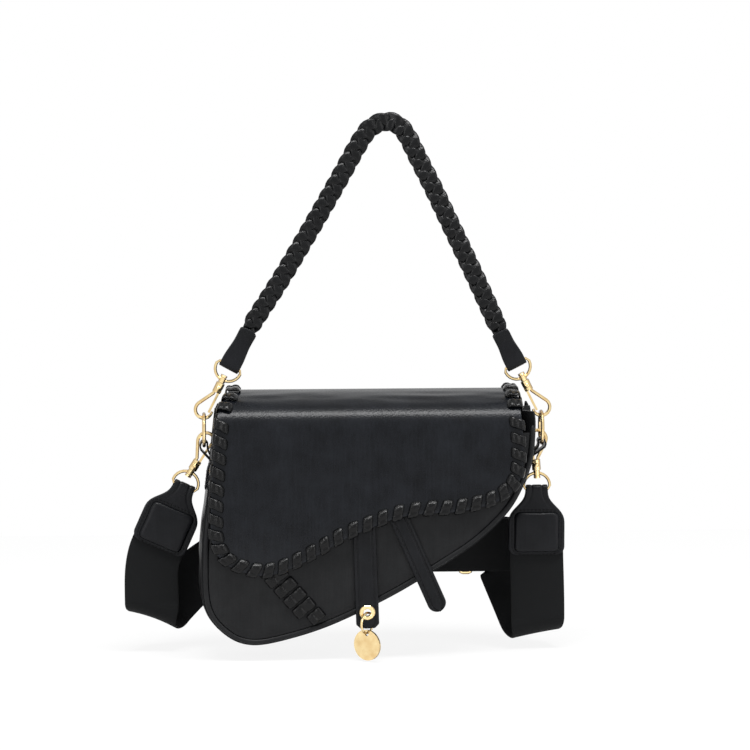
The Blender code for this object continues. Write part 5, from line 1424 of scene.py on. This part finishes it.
webStarts, padRuns = {}, []
for side, tilt in (("Left", rig["leftRingTilt"]), ("Right", 0.0)):
    direction = Vector((-math.sin(tilt), 0, -math.cos(tilt)))
    bar = bosses[f"strap{side}"] + direction * rig["dDepth"]
    across, innerGap = addStrapTab(side, bar, direction)
    padRuns.append(addPad(side, bar, direction, across, innerGap))
    webStarts[side] = (bar + direction * (strap["length"] - strap["overlap"]), direction,
                       across)
stitches("strapPadStitches", padRuns, "strap", length=0.0020, pitch=0.0029,
         radius=0.00032)


def addWebbing(name, stations, stands):
    centres, acrosses, widths = denser(stations, 4)
    centres = [bag["origin"] + c for c in centres]
    run = stationsOf(centres, acrosses)
    bm = strand(run, lambda i, share: section(widths[i], strap["webThick"], 12))
    newPiece(name, bm, "strapWebbing", "strap", stands, fix=True)


def ringBar(way):
    wrap = strap["ringWire"] + bag["gap"] + strap["webThick"] / 2
    back = strap["backY"] + 2 * strap["loopRadius"]
    return wrap, Vector((strap["ringX"] + way * strap["ringHalf"], back - wrap,
                         strap["backZ"]))


def longWebbing():
    centre, direction, across = webStarts["Left"]
    width, down, levelX = strap["webWidth"], Vector((0, 0, -1)), Vector((1, 0, 0))
    thick, gap, loop = strap["webThick"], bag["gap"], strap["loopRadius"]
    backY, backZ = strap["backY"], strap["backZ"]
    leave = centre + direction * strap["overlap"]
    foldTop = Vector((leave.x - strap["leftShift"], leave.y, strap["leftFoldZ"]))
    behind = Vector((-bag["width"] / 3, backY, backZ))
    stations = [(centre, across, width), (leave, across, width)]
    stations += blendStations((leave, direction, across), (foldTop, down, levelX), 6)
    folded, onward, upright = foldStations(foldTop, down, levelX, "left")
    stations += folded
    last = folded[-1]
    stations += blendStations((last[0], onward, last[1]), (behind, levelX, upright), 12)
    stations.append((behind, upright, width))
    # round the loop, the ring's bar, back inside the loop and round the slider's bar
    pitch = thick + gap * 4
    outerLoop = Vector((strap["loopX"], backY + loop, backZ))
    stations += arcStations(outerLoop, loop, -90, 90, upright)
    wrap, bar = ringBar(1)
    stations += arcStations(bar, wrap, 90, 270, upright)
    innerY, innerFar = bar.y - wrap, backY + pitch
    innerRadius = (innerY - innerFar) / 2
    innerLoop = Vector((strap["loopX"] - pitch, innerY - innerRadius, backZ))
    stations += arcStations(innerLoop, innerRadius, 90, -90, upright)
    sliderWrap = strap["sliderBar"] + gap + thick / 2
    slider = Vector((0, innerFar + sliderWrap, backZ))
    stations += arcStations(slider, sliderWrap, -90, -270, upright)
    stations.append((slider + Vector((strap["overlap"], sliderWrap, 0)), upright, width))
    addWebbing("webbingLong", stations, ["webbing_long"])


def shortWebbing():
    centre, direction, across = webStarts["Right"]
    width, down, leftward = strap["webWidth"], Vector((0, 0, -1)), Vector((-1, 0, 0))
    thick, gap, loop = strap["webThick"], bag["gap"], strap["loopRadius"]
    foldTop = Vector((centre.x + strap["rightShift"], centre.y, strap["rightFoldZ"]))
    stations = [(centre, across, width)]
    stations += blendStations((centre, down, across), (foldTop, down, across), 7)
    folded, onward, upright = foldStations(foldTop, down, across, "right")
    stations += folded
    last = folded[-1]
    clearY = strap["backY"] + 2 * loop + thick + 4 * gap
    over = Vector((strap["loopX"] - loop * 2, clearY, strap["backZ"]))
    risen = last[0] + onward * strap["rise"]
    risen.y = clearY
    stations += blendStations((last[0], onward, last[1]), (risen, onward, last[1]), 6)
    stations.append((risen, last[1], width))
    stations += blendStations((risen, onward, last[1]), (over, leftward, upright), 9)
    stations.append((over, upright, width))
    stations.append((Vector((strap["ringX"] + strap["ringHalf"], clearY,
                             strap["backZ"])), upright, width))
    wrap, bar = ringBar(-1)
    stations += arcStations(bar, wrap, 80, 265, upright)
    addWebbing("webbingShort", stations, ["webbing_short"])


longWebbing()
shortWebbing()
print("shoulder strap done")
